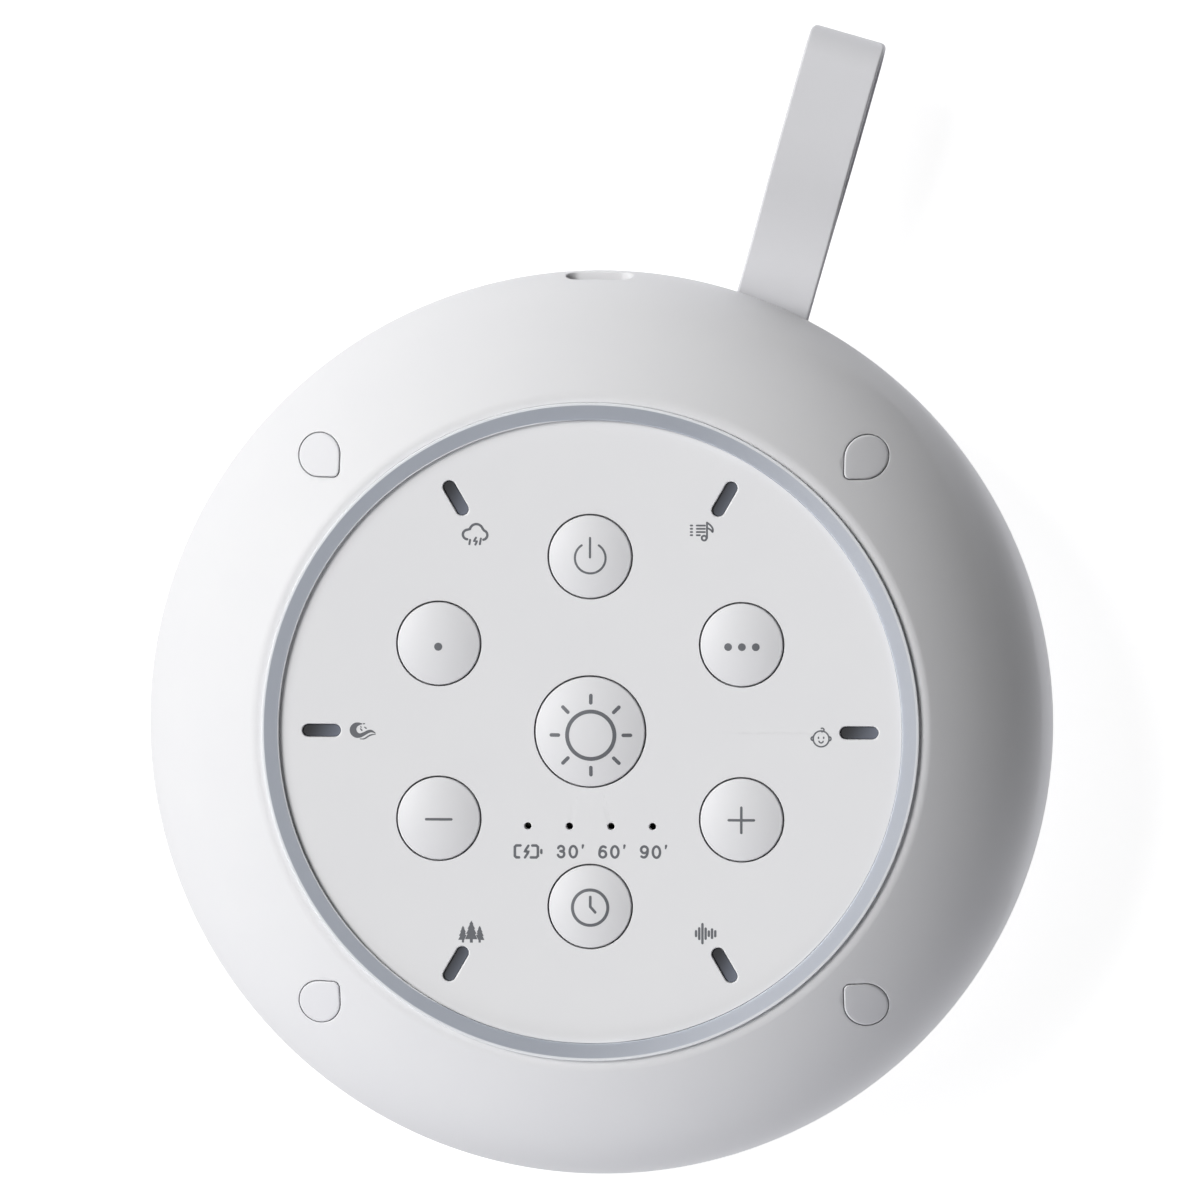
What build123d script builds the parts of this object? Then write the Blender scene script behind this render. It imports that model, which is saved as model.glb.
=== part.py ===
from build123d import *
from math import acos, asin, cos, degrees, pi, sin, sqrt
import os

# White noise sound machine: a round two-part case that lies on its speaker side,
# with a control panel facing up inside a translucent light ring.
# Millimetres. +Z is up, +Y points to the charging port at 12 o'clock, and the
# origin is the centre of the plane that the foot stands on.

# ---------------------------------------------------------------- case
body_radius = 63.0          # at the widest place
widest_z = 23.0             # height of the widest place
foot_height = 2.0           # gap that the foot leaves under the case
lip_width = 1.15            # flat lip around the light ring's opening
lip_edge_round = 2.4        # between dome and lip
wall = 2.4
parting_drop = 1.0          # the two shells meet this far under the widest place
tongue_thickness = 1.1      # step joint between the shells
tongue_height = 1.4
joint_clearance = 0.15
lip_round = 0.3             # inner edge of the lip

# ---------------------------------------------------------------- panel and light ring
panel_radius = 43.15
panel_thickness = 2.0
panel_depth = 3.5           # from the panel's face down to the ledge that carries it
skirt_wall = 1.5
panel_round = 0.3
hole_chamfer = 0.2          # round the mouth of each button hole
seam_clearance = 0.15       # panel to light ring, and light ring to case
light_ring_width = 2.3
light_ring_proud = 0.7
light_ring_round = 0.4
ledge_width = 2.35          # how far the ledge reaches in under the panel
ledge_thickness = 2.0
neck_wall = 2.0
light_leg_count = 12
light_leg_width = 5.0
light_leg_first_angle = 15.0
window_clearance = 0.2
snap_count = 6
snap_first_angle = 30.0
snap_width = 5.0
snap_thickness = 1.2
snap_clearance = 0.2
snap_hold = 0.8             # how far a hook reaches under the ledge
snap_seat_gap = 0.1
snap_hook_height = 1.2

# ---------------------------------------------------------------- buttons
button_circle_radius = 24.3
small_cap_radius = 5.72
large_cap_radius = 7.6
cap_gap = 0.3               # all round each cap, and above its flange
cap_travel = 0.5
cap_edge_proud = 0.15
small_crown_rise = 0.75
large_crown_rise = 0.95
cap_edge_round = 0.35
cap_top_wall = 1.3
cap_side_wall = 1.1
cap_flange_width = 1.15
cap_flange_thickness = 1.0
button_first_angle = 30.0
button_order = (            # evenly spaced, counted the way of +X to +Y
    "three_dot_button",
    "power_button",
    "one_dot_button",
    "volume_down_button",
    "timer_button",
    "volume_up_button",
)

# ---------------------------------------------------------------- switches under the buttons
switch_side = 6.0
switch_height = 3.1
plunger_radius = 1.7
plunger_pressed_proud = 0.5 # above the switch body at the end of the travel
plunger_length = 3.0
plunger_fit = 0.08
switch_floor = 0.3

# ---------------------------------------------------------------- indicator slots and timer lights
slot_inset = 5.79           # from the panel's edge to the middle of each slot
slot_count = 6
slot_length = 5.36
slot_width = 1.8
lens_clearance = 0.05
lens_recess = 0.5
lens_flange = 0.6
lens_flange_thickness = 0.8
lens_tail_length = 4.0
lens_tail_width = 1.4
timer_light_pitch = 5.78
timer_light_count = 4
timer_light_y = -13.14
pinhole_radius = 0.5
light_block_margin = 1.9
light_block_bore_radius = 0.8
light_gap = 0.5             # between a light source and the guide above it

# ---------------------------------------------------------------- circuit board
board_edge_gap = 1.3        # to the columns of the top shell
board_thickness = 1.6
board_post_length = 7.0     # the posts hang from the panel's underside
board_post_inset = 7.75     # from the panel's edge
board_post_angles = (30.0, 150.0, 210.0, 330.0)
board_post_radius = 2.5
led_height = 0.8
ring_led_length = 3.5
ring_led_width = 1.6
indicator_led_length = 2.0
indicator_led_width = 1.2
chip_height = 1.1
controller_side = 5.0
controller_place = (10.6, 15.6)
amplifier_length = 7.0
amplifier_width = 4.0
amplifier_place = (-11.0, 15.8)
connector_length = 8.0
connector_width = 5.0
connector_height = 4.5
connector_wall = 0.8
connector_x = -36.0
connector_y = 8.0

# ---------------------------------------------------------------- screws
case_screw_shift = 1.15     # inwards from the middle of the bezel
case_screw_angles = (45.0, 135.0, 225.0, 315.0)
case_screw_radius = 1.25
case_head_radius = 2.4
case_head_height = 1.8
case_screw_grip = 10.0      # length in the base shell's boss
boss_wall = 1.3
boss_rib_thickness = 1.4
well_floor_height = 4.5     # over the parting plane
well_clearance = 0.3        # round the screw's head
small_screw_radius = 0.9
small_head_radius = 1.9
small_head_height = 1.3
small_screw_grip = 4.5
speaker_screw_grip = 2.8
thread_clearance = 0.03
hole_clearance = 0.25
drive_share = 0.45          # hexagon drive's radius against its head's
drive_depth = 0.7

# ---------------------------------------------------------------- screw plugs
plug_radius = 2.95
plug_tab_radius = 0.85
plug_tab_reach = 2.95       # the tab points at the panel's centre
plug_edge_thickness = 1.35  # at its outermost point
plug_wall = 1.0             # of the shell round the plug's recess
plug_clearance = 0.12
plug_proud = 0.15
plug_stem_gap = 3.1         # over the screw's head
plug_stem_clearance = 0.1

# ---------------------------------------------------------------- speaker and grille
grille_hole_radius = 0.95
grille_pitch = 3.9
grille_rings = 5
cloth_thickness = 0.4
gasket_thickness = 1.0
gasket_setback = 0.2        # from the basket's mouth
speaker_radius = 25.0
speaker_flange_width = 2.8
speaker_flange_thickness = 1.2
speaker_ear_reach = 3.5     # from the flange's edge to each ear's hole
speaker_ear_angles = (45.0, 135.0, 225.0, 315.0)
speaker_ear_radius = 3.3
speaker_depth = 16.4        # from the flange's front to the back of the magnet
basket_back_radius = 14.0
basket_wall = 0.9
basket_height = 9.0
basket_window_count = 6
basket_window_width = 7.0
basket_band = 1.6           # left whole above and below each window
magnet_radius = 14.5
magnet_back_thickness = 2.0
magnet_round = 0.6
pole_radius = 4.3
coil_radius = 5.4
coil_wall = 0.7
coil_play = 0.4
coil_length = 6.0
surround_width = 3.6
cone_thickness = 0.5
cone_height = 5.6
cone_setback = 0.6          # from the flange's front
dust_cap_radius = 7.0
dust_cap_rise = 2.2
glue_line = 0.05
surround_rise = 1.1
surround_thickness = 0.4
seat_wall = 1.2
seat_height = 2.2
seat_clearance = 0.2

# ---------------------------------------------------------------- battery and its tray
magnet_gap = 1.2            # between the speaker's magnet and the tray
tray_thickness = 1.6
tray_margin = 2.2           # outside the rim
tray_corner = 3.0
tray_rim_wall = 1.4
tray_rim_height = 2.2
tray_post_circle_radius = 42.0
tray_post_angle = 39.0      # either side of the X axis
tray_post_radius = 3.2
tray_ear_radius = 4.4
tray_window_length = 30.0
tray_window_width = 6.0
tray_window_pitch = 13.0
pad_thickness = 0.5
pad_inset = 2.0
battery_length = 50.0
battery_width = 38.0
battery_height = 6.0
battery_round = 1.6
battery_clearance = 0.4
battery_gap = 0.9           # between the battery and the circuit board

# ---------------------------------------------------------------- charging port
port_height = 4.3           # of the socket's middle over the parting plane
port_margin = 0.2           # of the opening round the socket
receptacle_width = 8.94
receptacle_height = 3.2
receptacle_length = 7.35
receptacle_wall = 0.3
receptacle_setback = 3.0    # from the case's widest place
receptacle_floor = 1.4
tongue_side_gap = 0.82
tongue_board_thickness = 0.7
tongue_setback = 0.8
charging_board_width = 18.0
charging_board_length = 14.0
charging_board_setback = 1.5
charging_post_radius = 2.4
charging_post_side_inset = 2.7
charging_post_back_inset = 3.5
charging_chip_side = 4.0

# ---------------------------------------------------------------- strap, its pin and its pocket
strap_heading = 74.2        # the way the strap points, from the X axis
strap_offset = -6.8         # its centreline passes beside the case's axis
strap_width = 10.6
strap_overhang = 38.4       # of the tip past the case's widest place
strap_layer = 1.2           # thickness of one layer of the folded band
strap_fold_radius = 4.2     # outside of the fold at the tip
strap_joined_length = 11.5  # from the pin to where the two layers part
strap_open_length = 13.4    # from where the loop is fully open to the tip
strap_slit = 0.3
strap_corner = 0.9
pin_inset = 7.0             # from the case's widest place
pin_radius = 1.5
pin_fit = 0.08
pin_seat_depth = 1.6
pocket_side_gap = 0.9
pocket_above_pin = 4.2
pocket_below_pin = 3.4
pocket_back_gap = 0.8
pocket_wall = 1.8
pocket_lip = 1.8            # between the pocket and the parting plane
pocket_corner = 1.2

# ---------------------------------------------------------------- foot
foot_edge = 6.0             # from the flat underside's edge to the foot's middle
foot_width = 6.0
foot_inset = 0.9
foot_clearance = 0.1
foot_round = 0.6
foot_opening = 100.0        # the open side lets the sound out, at 12 o'clock
foot_pad_angle = 16.0

# ---------------------------------------------------------------- worked out from the sizes above
underside_z = foot_height
floor_z = underside_z + wall
root_z = floor_z - wall / 2     # posts and bosses start inside the floor's thickness
parting_z = widest_z - parting_drop
lower_arc = widest_z - underside_z
flat_radius = body_radius - lower_arc
inner_radius = body_radius - wall

speaker_front_z = floor_z + cloth_thickness + gasket_thickness
speaker_flange_top_z = speaker_front_z + speaker_flange_thickness
speaker_ear_circle_radius = speaker_radius + speaker_ear_reach
basket_top_radius = speaker_radius - speaker_flange_width
basket_back_z = speaker_flange_top_z + basket_height
magnet_top_z = speaker_front_z + speaker_depth
pole_front_z = basket_back_z - basket_wall
coil_gap_radius = coil_radius + coil_play
cone_radius = basket_top_radius - surround_width
cone_edge_z = speaker_front_z + cone_setback
cone_back_z = cone_edge_z + cone_height + cone_thickness

tray_z = magnet_top_z + magnet_gap
tray_top_z = tray_z + tray_thickness
tray_length = battery_length + 2 * (battery_clearance + tray_rim_wall + tray_margin)
tray_width = battery_width + 2 * (battery_clearance + tray_rim_wall + tray_margin)
tray_post_angles = (tray_post_angle, 180 - tray_post_angle, 180 + tray_post_angle, -tray_post_angle)
battery_bottom_z = tray_top_z + pad_thickness

board_bottom_z = battery_bottom_z + battery_height + battery_gap
board_top_z = board_bottom_z + board_thickness
switch_top_z = board_top_z + switch_height
plunger_top_z = switch_top_z + plunger_pressed_proud + cap_travel
lights_top_z = board_top_z + led_height
guide_bottom_z = lights_top_z + light_gap

panel_underside_z = board_top_z + board_post_length
panel_face_z = panel_underside_z + panel_thickness
ledge_top_z = panel_face_z - panel_depth
ledge_bottom_z = ledge_top_z - ledge_thickness
ledge_inner_radius = panel_radius - ledge_width
ring_inner_radius = panel_radius + seam_clearance
ring_outer_radius = ring_inner_radius + light_ring_width
ring_mid_radius = (ring_inner_radius + ring_outer_radius) / 2
opening_radius = ring_outer_radius + seam_clearance
neck_radius = opening_radius + neck_wall
lip_radius = opening_radius + lip_width
dome_height = (panel_face_z - widest_z) / sqrt(1 - (lip_radius / body_radius) ** 2)
slot_circle_radius = panel_radius - slot_inset
board_post_circle_radius = panel_radius - board_post_inset

flange_top_z = panel_underside_z - cap_gap
flange_bottom_z = flange_top_z - cap_flange_thickness
cap_edge_z = panel_face_z + cap_edge_proud

case_screw_circle_radius = (lip_radius + body_radius) / 2 - case_screw_shift
well_floor_z = parting_z + well_floor_height
well_radius = case_head_radius + well_clearance
boss_radius = well_radius + boss_wall
board_radius = case_screw_circle_radius - boss_radius - board_edge_gap
plug_outer_share = (case_screw_circle_radius + plug_radius) / body_radius
plug_seat_z = widest_z + dome_height * sqrt(1 - plug_outer_share ** 2) - plug_edge_thickness
plug_stem_z = well_floor_z + case_head_height + plug_stem_gap

port_z = parting_z + port_height
receptacle_bottom_z = port_z - receptacle_height / 2
receptacle_front_y = body_radius - receptacle_setback
tongue_width = receptacle_width - 2 * (receptacle_wall + tongue_side_gap)
charging_board_z = receptacle_bottom_z - board_thickness
charging_front_y = receptacle_front_y - charging_board_setback
charging_back_y = charging_front_y - charging_board_length
charging_post_x = charging_board_width / 2 - charging_post_side_inset
charging_post_y = charging_back_y + charging_post_back_inset
charging_posts = ((-charging_post_x, charging_post_y), (charging_post_x, charging_post_y))

pin_reach = body_radius - pin_inset
pin_z = parting_z - pocket_lip - pocket_above_pin
strap_tip_reach = body_radius + strap_overhang
strap_split_reach = pin_reach + strap_joined_length
strap_full_reach = strap_tip_reach - strap_open_length
eye_radius = pin_radius + pin_fit + strap_layer
pocket_width = strap_width + 2 * pocket_side_gap
pocket_back = pin_reach - eye_radius - pocket_back_gap
pocket_low_z = pin_z - pocket_below_pin
pocket_high_z = pin_z + pocket_above_pin
pin_length = pocket_width + 2 * pin_seat_depth
strap_frame = Rot(0, 0, strap_heading) * Pos(0, strap_offset, 0)
foot_radius = flat_radius - foot_edge
far = 4 * body_radius


# ---------------------------------------------------------------- shapes used throughout
def disc(radius, low_z, high_z):
    return Pos(0, 0, low_z) * extrude(Circle(radius), high_z - low_z)


def tube(inner, outer, low_z, high_z):
    return Pos(0, 0, low_z) * extrude(Circle(outer) - Circle(inner), high_z - low_z)


def block(x_range, y_range, z_range):
    ranges = (x_range, y_range, z_range)
    size = [high - low for low, high in ranges]
    centre = [(low + high) / 2 for low, high in ranges]
    return Pos(*centre) * Box(*size)


def both_sides(half):
    return (-half, half)


def turned(outline):
    """Turn a closed outline of radius and height about the Z axis."""
    return revolve(Plane.XZ * make_face(outline), Axis.Z)


def around(radius, angle):
    """The frame at a radius and angle, with its X axis pointing outwards."""
    return Rot(0, 0, angle) * Pos(radius, 0, 0)


def angles(count, first=0.0):
    return [first + 360.0 * step / count for step in range(count)]


def at_places(shape, places):
    """One separate copy of the shape at each place."""
    return Compound(children=[place * shape for place in places])


def screw(length, radius, head_radius, head_height):
    """A screw that points down from its head's seat at zero height, its thread left plain."""
    drive = extrude(RegularPolygon(head_radius * drive_share, 6), drive_depth)
    head = disc(head_radius, 0, head_height) - Pos(0, 0, head_height - drive_depth) * drive
    return disc(radius, -length, 0) + head


def small_screw(length):
    return screw(length, small_screw_radius, small_head_radius, small_head_height)


def pilot(radius, grip):
    """The hole that a screw cuts its thread in, down from zero height."""
    return disc(radius + thread_clearance, -grip - thread_clearance, 0)


def dome(radius, top_z, rise):
    """The arc from the axis down to the rim of a shallow dome."""
    ball = (radius ** 2 + rise ** 2) / (2 * rise)
    turn = asin(radius / ball) / 2
    middle = (ball * sin(turn), top_z - ball * (1 - cos(turn)))
    return ThreePointArc((0, top_z), middle, (radius, top_z - rise))


def case_form(growth):
    """The pebble shape of the case, grown outwards: an elliptical dome over a round flank."""
    low = lower_arc + growth
    wide = body_radius + growth
    high = dome_height + growth
    lip_turn = acos(lip_radius / wide)
    bottom = (flat_radius, widest_z - low)
    flank = (flat_radius + low * cos(pi / 4), widest_z - low * sin(pi / 4))
    lip = (lip_radius, widest_z + high * sin(lip_turn))
    outline = Line((0, bottom[1]), bottom)
    outline += ThreePointArc(bottom, flank, (wide, widest_z))
    outline += EllipticalCenterArc((0, widest_z), wide, high, arc_size=degrees(lip_turn))
    outline += Polyline(lip, (0, lip[1]), (0, bottom[1]))
    return turned(outline)


# ---------------------------------------------------------------- case shells
outer_form = case_form(0)
outer_form = fillet(outer_form.edges().filter_by(GeomType.CIRCLE).sort_by(Axis.Z)[-1], lip_edge_round)
skin = outer_form - case_form(-wall)


def plug_outline(clearance):
    """A round plug with a rounded pull tab that points at the case's centre."""
    main = plug_radius + clearance
    tab = plug_tab_radius + clearance
    turn = acos((main - tab) / plug_tab_reach)
    near = (-main * cos(turn), main * sin(turn))
    tip = (-plug_tab_reach - tab * cos(turn), tab * sin(turn))
    flanks = Polygon(near, tip, (tip[0], -tip[1]), (near[0], -near[1]), align=None)
    return Circle(main) + Pos(-plug_tab_reach, 0) * Circle(tab) + flanks


def through_wall(outline, start_y):
    """Extrude an outline outwards through the side wall at 12 o'clock."""
    opening = Plane(origin=(0, start_y, port_z), x_dir=(1, 0, 0), z_dir=(0, 1, 0))
    return extrude(opening * outline, 2 * wall)


def top_shell():
    """Domed upper shell with the ledge for panel and light ring, and four screw wells."""
    shell = skin + tube(opening_radius, neck_radius, ledge_bottom_z, panel_face_z)
    shell += tube(ledge_inner_radius, neck_radius, ledge_bottom_z, ledge_top_z)
    rib = block((0, inner_radius + wall / 2 - case_screw_circle_radius),
                both_sides(boss_rib_thickness / 2),
                (parting_z + 2 * tongue_height, well_floor_z + boss_radius))
    column = disc(boss_radius, parting_z, panel_face_z)
    column += Pos(0, 0, plug_seat_z - plug_wall) * extrude(plug_outline(plug_wall), far)
    for angle in case_screw_angles:
        shell += around(case_screw_circle_radius, angle) * (column + rib)
    shell &= outer_form
    shell &= block(both_sides(far), both_sides(far), (parting_z, far))
    shell -= disc(opening_radius, ledge_top_z, far)
    lip_edges = shell.edges().filter_by(GeomType.CIRCLE)
    lip_edges = lip_edges.filter_by(lambda edge: abs(edge.radius - opening_radius) < thread_clearance)
    shell = fillet(lip_edges.sort_by(Axis.Z)[-1], lip_round)
    groove_radius = inner_radius + tongue_thickness + joint_clearance
    shell -= tube(inner_radius - wall, groove_radius, parting_z, parting_z + tongue_height + joint_clearance)
    well = disc(well_radius, well_floor_z, plug_seat_z)
    well += disc(case_screw_radius + hole_clearance, parting_z - wall, well_floor_z)
    well += Pos(0, 0, plug_seat_z) * extrude(plug_outline(plug_clearance), far)
    for angle in case_screw_angles:
        shell -= around(case_screw_circle_radius, angle) * well
    window = block((ring_inner_radius - window_clearance, opening_radius),
                   both_sides(light_leg_width / 2 + window_clearance),
                   (ledge_bottom_z - wall, ledge_top_z + wall))
    for angle in angles(light_leg_count, light_leg_first_angle):
        shell -= Rot(0, 0, angle) * window
    opening = SlotOverall(receptacle_width + 2 * port_margin, receptacle_height + 2 * port_margin)
    return shell - through_wall(opening, receptacle_front_y - wall)


def grille_outline():
    """Round holes on evenly spaced rings, six more on each ring than on the last."""
    holes = [Circle(grille_hole_radius)]
    for ring in range(1, grille_rings + 1):
        for angle in angles(6 * ring):
            holes.append(around(ring * grille_pitch, angle) * Circle(grille_hole_radius))
    return Sketch() + holes


def foot_outline(clearance):
    """A horseshoe open at 12 o'clock, and a short pad in the middle of the opening."""
    width = foot_width + 2 * clearance
    horseshoe = CenterArc((0, 0), foot_radius, 90 + foot_opening / 2, 360 - foot_opening)
    pad = CenterArc((0, 0), foot_radius, 90 - foot_pad_angle / 2, foot_pad_angle)
    return [SlotArc(horseshoe, width), SlotArc(pad, width)]


def base_shell():
    """Lower shell with the grille, the speaker's seat, the posts and the strap pocket."""
    shell = skin & block(both_sides(far), both_sides(far), (-far, parting_z))
    shell += tube(inner_radius, inner_radius + tongue_thickness, parting_z - wall, parting_z + tongue_height)
    seat_inner = speaker_radius + seat_clearance
    shell += tube(seat_inner, seat_inner + seat_wall, root_z, floor_z + seat_height)
    additions = []
    ear_seat = disc(speaker_ear_radius, root_z, speaker_front_z)
    for angle in speaker_ear_angles:
        additions.append(around(speaker_ear_circle_radius, angle) * ear_seat)
    rib = block((0, inner_radius - case_screw_circle_radius),
                both_sides(boss_rib_thickness / 2),
                (root_z, parting_z))
    boss = disc(boss_radius, root_z, parting_z) + rib
    for angle in case_screw_angles:
        additions.append(around(case_screw_circle_radius, angle) * boss)
    for angle in tray_post_angles:
        additions.append(around(tray_post_circle_radius, angle) * disc(tray_post_radius, root_z, tray_z))
    for x, y in charging_posts:
        additions.append(Pos(x, y) * disc(charging_post_radius, root_z, charging_board_z))
    pocket_block = block((pocket_back - pocket_wall, far),
                         both_sides(pocket_width / 2 + pocket_wall),
                         (pocket_low_z - pocket_wall, parting_z))
    additions.append(strap_frame * pocket_block)
    for addition in additions:
        shell += addition & outer_form
    ear_room = block((0, speaker_ear_circle_radius), both_sides(speaker_ear_radius + seat_clearance),
                     (speaker_front_z, far))
    for angle in speaker_ear_angles:
        shell -= Rot(0, 0, angle) * (ear_room & disc(seat_inner + 2 * seat_wall, 0, floor_z + wall))
        place = around(speaker_ear_circle_radius, angle) * Pos(0, 0, speaker_front_z)
        shell -= place * pilot(small_screw_radius, speaker_screw_grip)
    for angle in case_screw_angles:
        place = around(case_screw_circle_radius, angle) * Pos(0, 0, parting_z)
        shell -= place * pilot(case_screw_radius, case_screw_grip)
    for angle in tray_post_angles:
        place = around(tray_post_circle_radius, angle) * Pos(0, 0, tray_z)
        shell -= place * pilot(small_screw_radius, small_screw_grip)
    for x, y in charging_posts:
        shell -= Pos(x, y, charging_board_z) * pilot(small_screw_radius, small_screw_grip)
    pocket_middle = (pocket_back, 0, (pocket_low_z + pocket_high_z) / 2)
    mouth = Plane(origin=pocket_middle, x_dir=(0, 1, 0), z_dir=(1, 0, 0))
    mouth_outline = RectangleRounded(pocket_width, pocket_high_z - pocket_low_z, pocket_corner)
    shell -= strap_frame * extrude(mouth * mouth_outline, body_radius)
    shell -= strap_frame * pin_bore()
    for outline in foot_outline(foot_clearance):
        shell -= Pos(0, 0, underside_z) * extrude(outline, foot_inset)
    return shell - Pos(0, 0, root_z - wall) * extrude(grille_outline(), 2 * wall)


# ---------------------------------------------------------------- strap
def along_pin(radius, low_y, high_y):
    """A cylinder on the pin's axis, in the strap's own frame."""
    plane = Plane(origin=(pin_reach, low_y, pin_z), x_dir=(1, 0, 0), z_dir=(0, 1, 0))
    return extrude(plane * Circle(radius), high_y - low_y)


def pin_bore():
    """The pin's bore, blind on one side of the pocket and open to the inside on the other."""
    return along_pin(pin_radius + thread_clearance, -pin_length / 2, pocket_width / 2 + 2 * pocket_wall)


def loop_outline(half_height, fold_radius, start, start_half):
    """Side view of a folded band: two flowing curves that end in a round fold."""
    fold = strap_tip_reach - strap_fold_radius
    lean = (strap_full_reach - start) / 2
    top = Bezier((start, start_half), (start + lean, start_half),
                 (strap_full_reach - lean, half_height), (strap_full_reach, half_height))
    top += Line((strap_full_reach, half_height), (fold, half_height))
    top += ThreePointArc((fold, half_height), (fold + fold_radius, 0), (fold, -half_height))
    top += Line((fold, -half_height), (strap_full_reach, -half_height))
    top += Bezier((strap_full_reach, -half_height), (strap_full_reach - lean, -half_height),
                  (start + lean, -start_half), (start, -start_half))
    top += Line((start, -start_half), (start, start_half))
    return top


def strap():
    """A silicone band folded into a hanging loop, with a round eye on the pin."""
    side = Plane(origin=(0, 0, pin_z), x_dir=(1, 0, 0), z_dir=(0, -1, 0))
    start = pin_reach + pin_radius
    inside = strap_fold_radius - strap_layer
    outside_start = strap_split_reach - strap_layer
    band = make_face(loop_outline(strap_fold_radius, strap_fold_radius, outside_start, strap_layer))
    band += Pos((start + strap_split_reach) / 2, 0) * Rectangle(strap_split_reach - start, 2 * strap_layer)
    band += Pos(pin_reach, 0) * Circle(eye_radius)
    band -= make_face(loop_outline(inside, inside, strap_split_reach, strap_slit / 2))
    band -= Pos(pin_reach, 0) * Circle(pin_radius + pin_fit)
    solid = extrude(side * band, strap_width / 2, both=True)
    length = strap_tip_reach - pin_reach + 2 * eye_radius
    plan = Pos(strap_tip_reach - length / 2, 0) * RectangleRounded(length, strap_width, strap_corner)
    return strap_frame * (solid & extrude(plan, far, both=True))


def strap_pin():
    return strap_frame * along_pin(pin_radius, -pin_length / 2, pin_length / 2)


# ---------------------------------------------------------------- panel, light ring and plugs
def snap_hook():
    """A leg that hangs through the ledge's opening, with a barb under the ledge."""
    outer = ledge_inner_radius - snap_clearance
    barb_z = ledge_bottom_z - snap_seat_gap
    inner = outer - snap_thickness
    outline = Polyline((inner, panel_underside_z), (outer, panel_underside_z), (outer, barb_z),
                       (ledge_inner_radius + snap_hold, barb_z), (outer, barb_z - snap_hook_height),
                       (inner, barb_z - snap_hook_height), close=True)
    return extrude(Plane.XZ * make_face(outline), snap_width / 2, both=True)


def slot_place(angle):
    return around(slot_circle_radius, angle)


def timer_light_places():
    middle = (timer_light_count - 1) / 2
    return [Pos((step - middle) * timer_light_pitch, timer_light_y) for step in range(timer_light_count)]


def button_places():
    turns = angles(len(button_order), button_first_angle)
    places = {name: around(button_circle_radius, angle) for name, angle in zip(button_order, turns)}
    places["light_button"] = Pos(0, 0)
    return places


def cap_radius(name):
    return large_cap_radius if name == "light_button" else small_cap_radius


def control_panel():
    """Flat round panel that carries the board on posts and clips under the ledge."""
    panel = disc(panel_radius, panel_underside_z, panel_face_z)
    panel = fillet(panel.edges().group_by(Axis.Z)[-1], panel_round)
    panel += tube(panel_radius - skirt_wall, panel_radius, ledge_top_z, panel_underside_z)
    for angle in angles(snap_count, snap_first_angle):
        panel += Rot(0, 0, angle) * snap_hook()
    for angle in board_post_angles:
        post = disc(board_post_radius, board_top_z, panel_underside_z)
        hole = Pos(0, 0, board_top_z) * Rot(180, 0, 0) * pilot(small_screw_radius, small_screw_grip)
        panel += around(board_post_circle_radius, angle) * post
        panel -= around(board_post_circle_radius, angle) * hole
    for name, place in button_places().items():
        hole_radius = cap_radius(name) + cap_gap
        rim = Pos(0, 0, panel_face_z - hole_chamfer) * Cone(hole_radius, hole_radius + 2 * hole_chamfer,
                                                            2 * hole_chamfer,
                                                            align=(Align.CENTER, Align.CENTER, Align.MIN))
        panel -= place * (disc(hole_radius, panel_underside_z, panel_face_z) + rim)
    slot = Pos(0, 0, panel_underside_z) * extrude(SlotOverall(slot_length, slot_width), panel_thickness)
    for angle in angles(slot_count):
        panel -= slot_place(angle) * slot
    for place in timer_light_places():
        panel -= place * disc(pinhole_radius, panel_underside_z, panel_face_z)
    return panel


def light_ring():
    """Translucent ring that stands proud of the panel, with legs down to its lights."""
    ring = tube(ring_inner_radius, ring_outer_radius, ledge_top_z, panel_face_z + light_ring_proud)
    ring = fillet(ring.edges().group_by(Axis.Z)[-1], light_ring_round)
    legs = tube(ring_inner_radius, ring_outer_radius, guide_bottom_z, ledge_top_z)
    for angle in angles(light_leg_count, light_leg_first_angle):
        slice_of_ring = Rot(0, 0, angle) * block((0, far), both_sides(light_leg_width / 2), (0, far))
        ring += legs & slice_of_ring
    return ring


def screw_plug():
    """Soft plug over a case screw, its top following the case's curve."""
    place = around(case_screw_circle_radius, 0)
    top = place * Pos(0, 0, plug_seat_z) * extrude(plug_outline(0), far)
    stem = place * disc(well_radius - plug_stem_clearance, plug_stem_z, plug_seat_z)
    return (top & case_form(plug_proud)) + stem


def indicator_lens():
    """Smoked light pipe: a slot-shaped window, a flange behind it and a tail to its light."""
    window = SlotOverall(slot_length - 2 * lens_clearance, slot_width - 2 * lens_clearance)
    flange = SlotOverall(slot_length + 2 * lens_flange, slot_width + 2 * lens_flange)
    flange_z = panel_underside_z - lens_flange_thickness
    tail_z = (guide_bottom_z, flange_z)
    tail = block(both_sides(lens_tail_length / 2), both_sides(lens_tail_width / 2), tail_z)
    lens = Pos(0, 0, panel_underside_z) * extrude(window, panel_thickness - lens_recess)
    return lens + Pos(0, 0, flange_z) * extrude(flange, lens_flange_thickness) + tail


def timer_light_guide():
    """Dark block that keeps the light of each pinhole apart."""
    half_length = (timer_light_count - 1) / 2 * timer_light_pitch + light_block_margin
    y_range = (timer_light_y - light_block_margin, timer_light_y + light_block_margin)
    guide = block(both_sides(half_length), y_range, (guide_bottom_z, panel_underside_z))
    for place in timer_light_places():
        guide -= place * disc(light_block_bore_radius, guide_bottom_z, panel_underside_z)
    return guide


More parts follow.
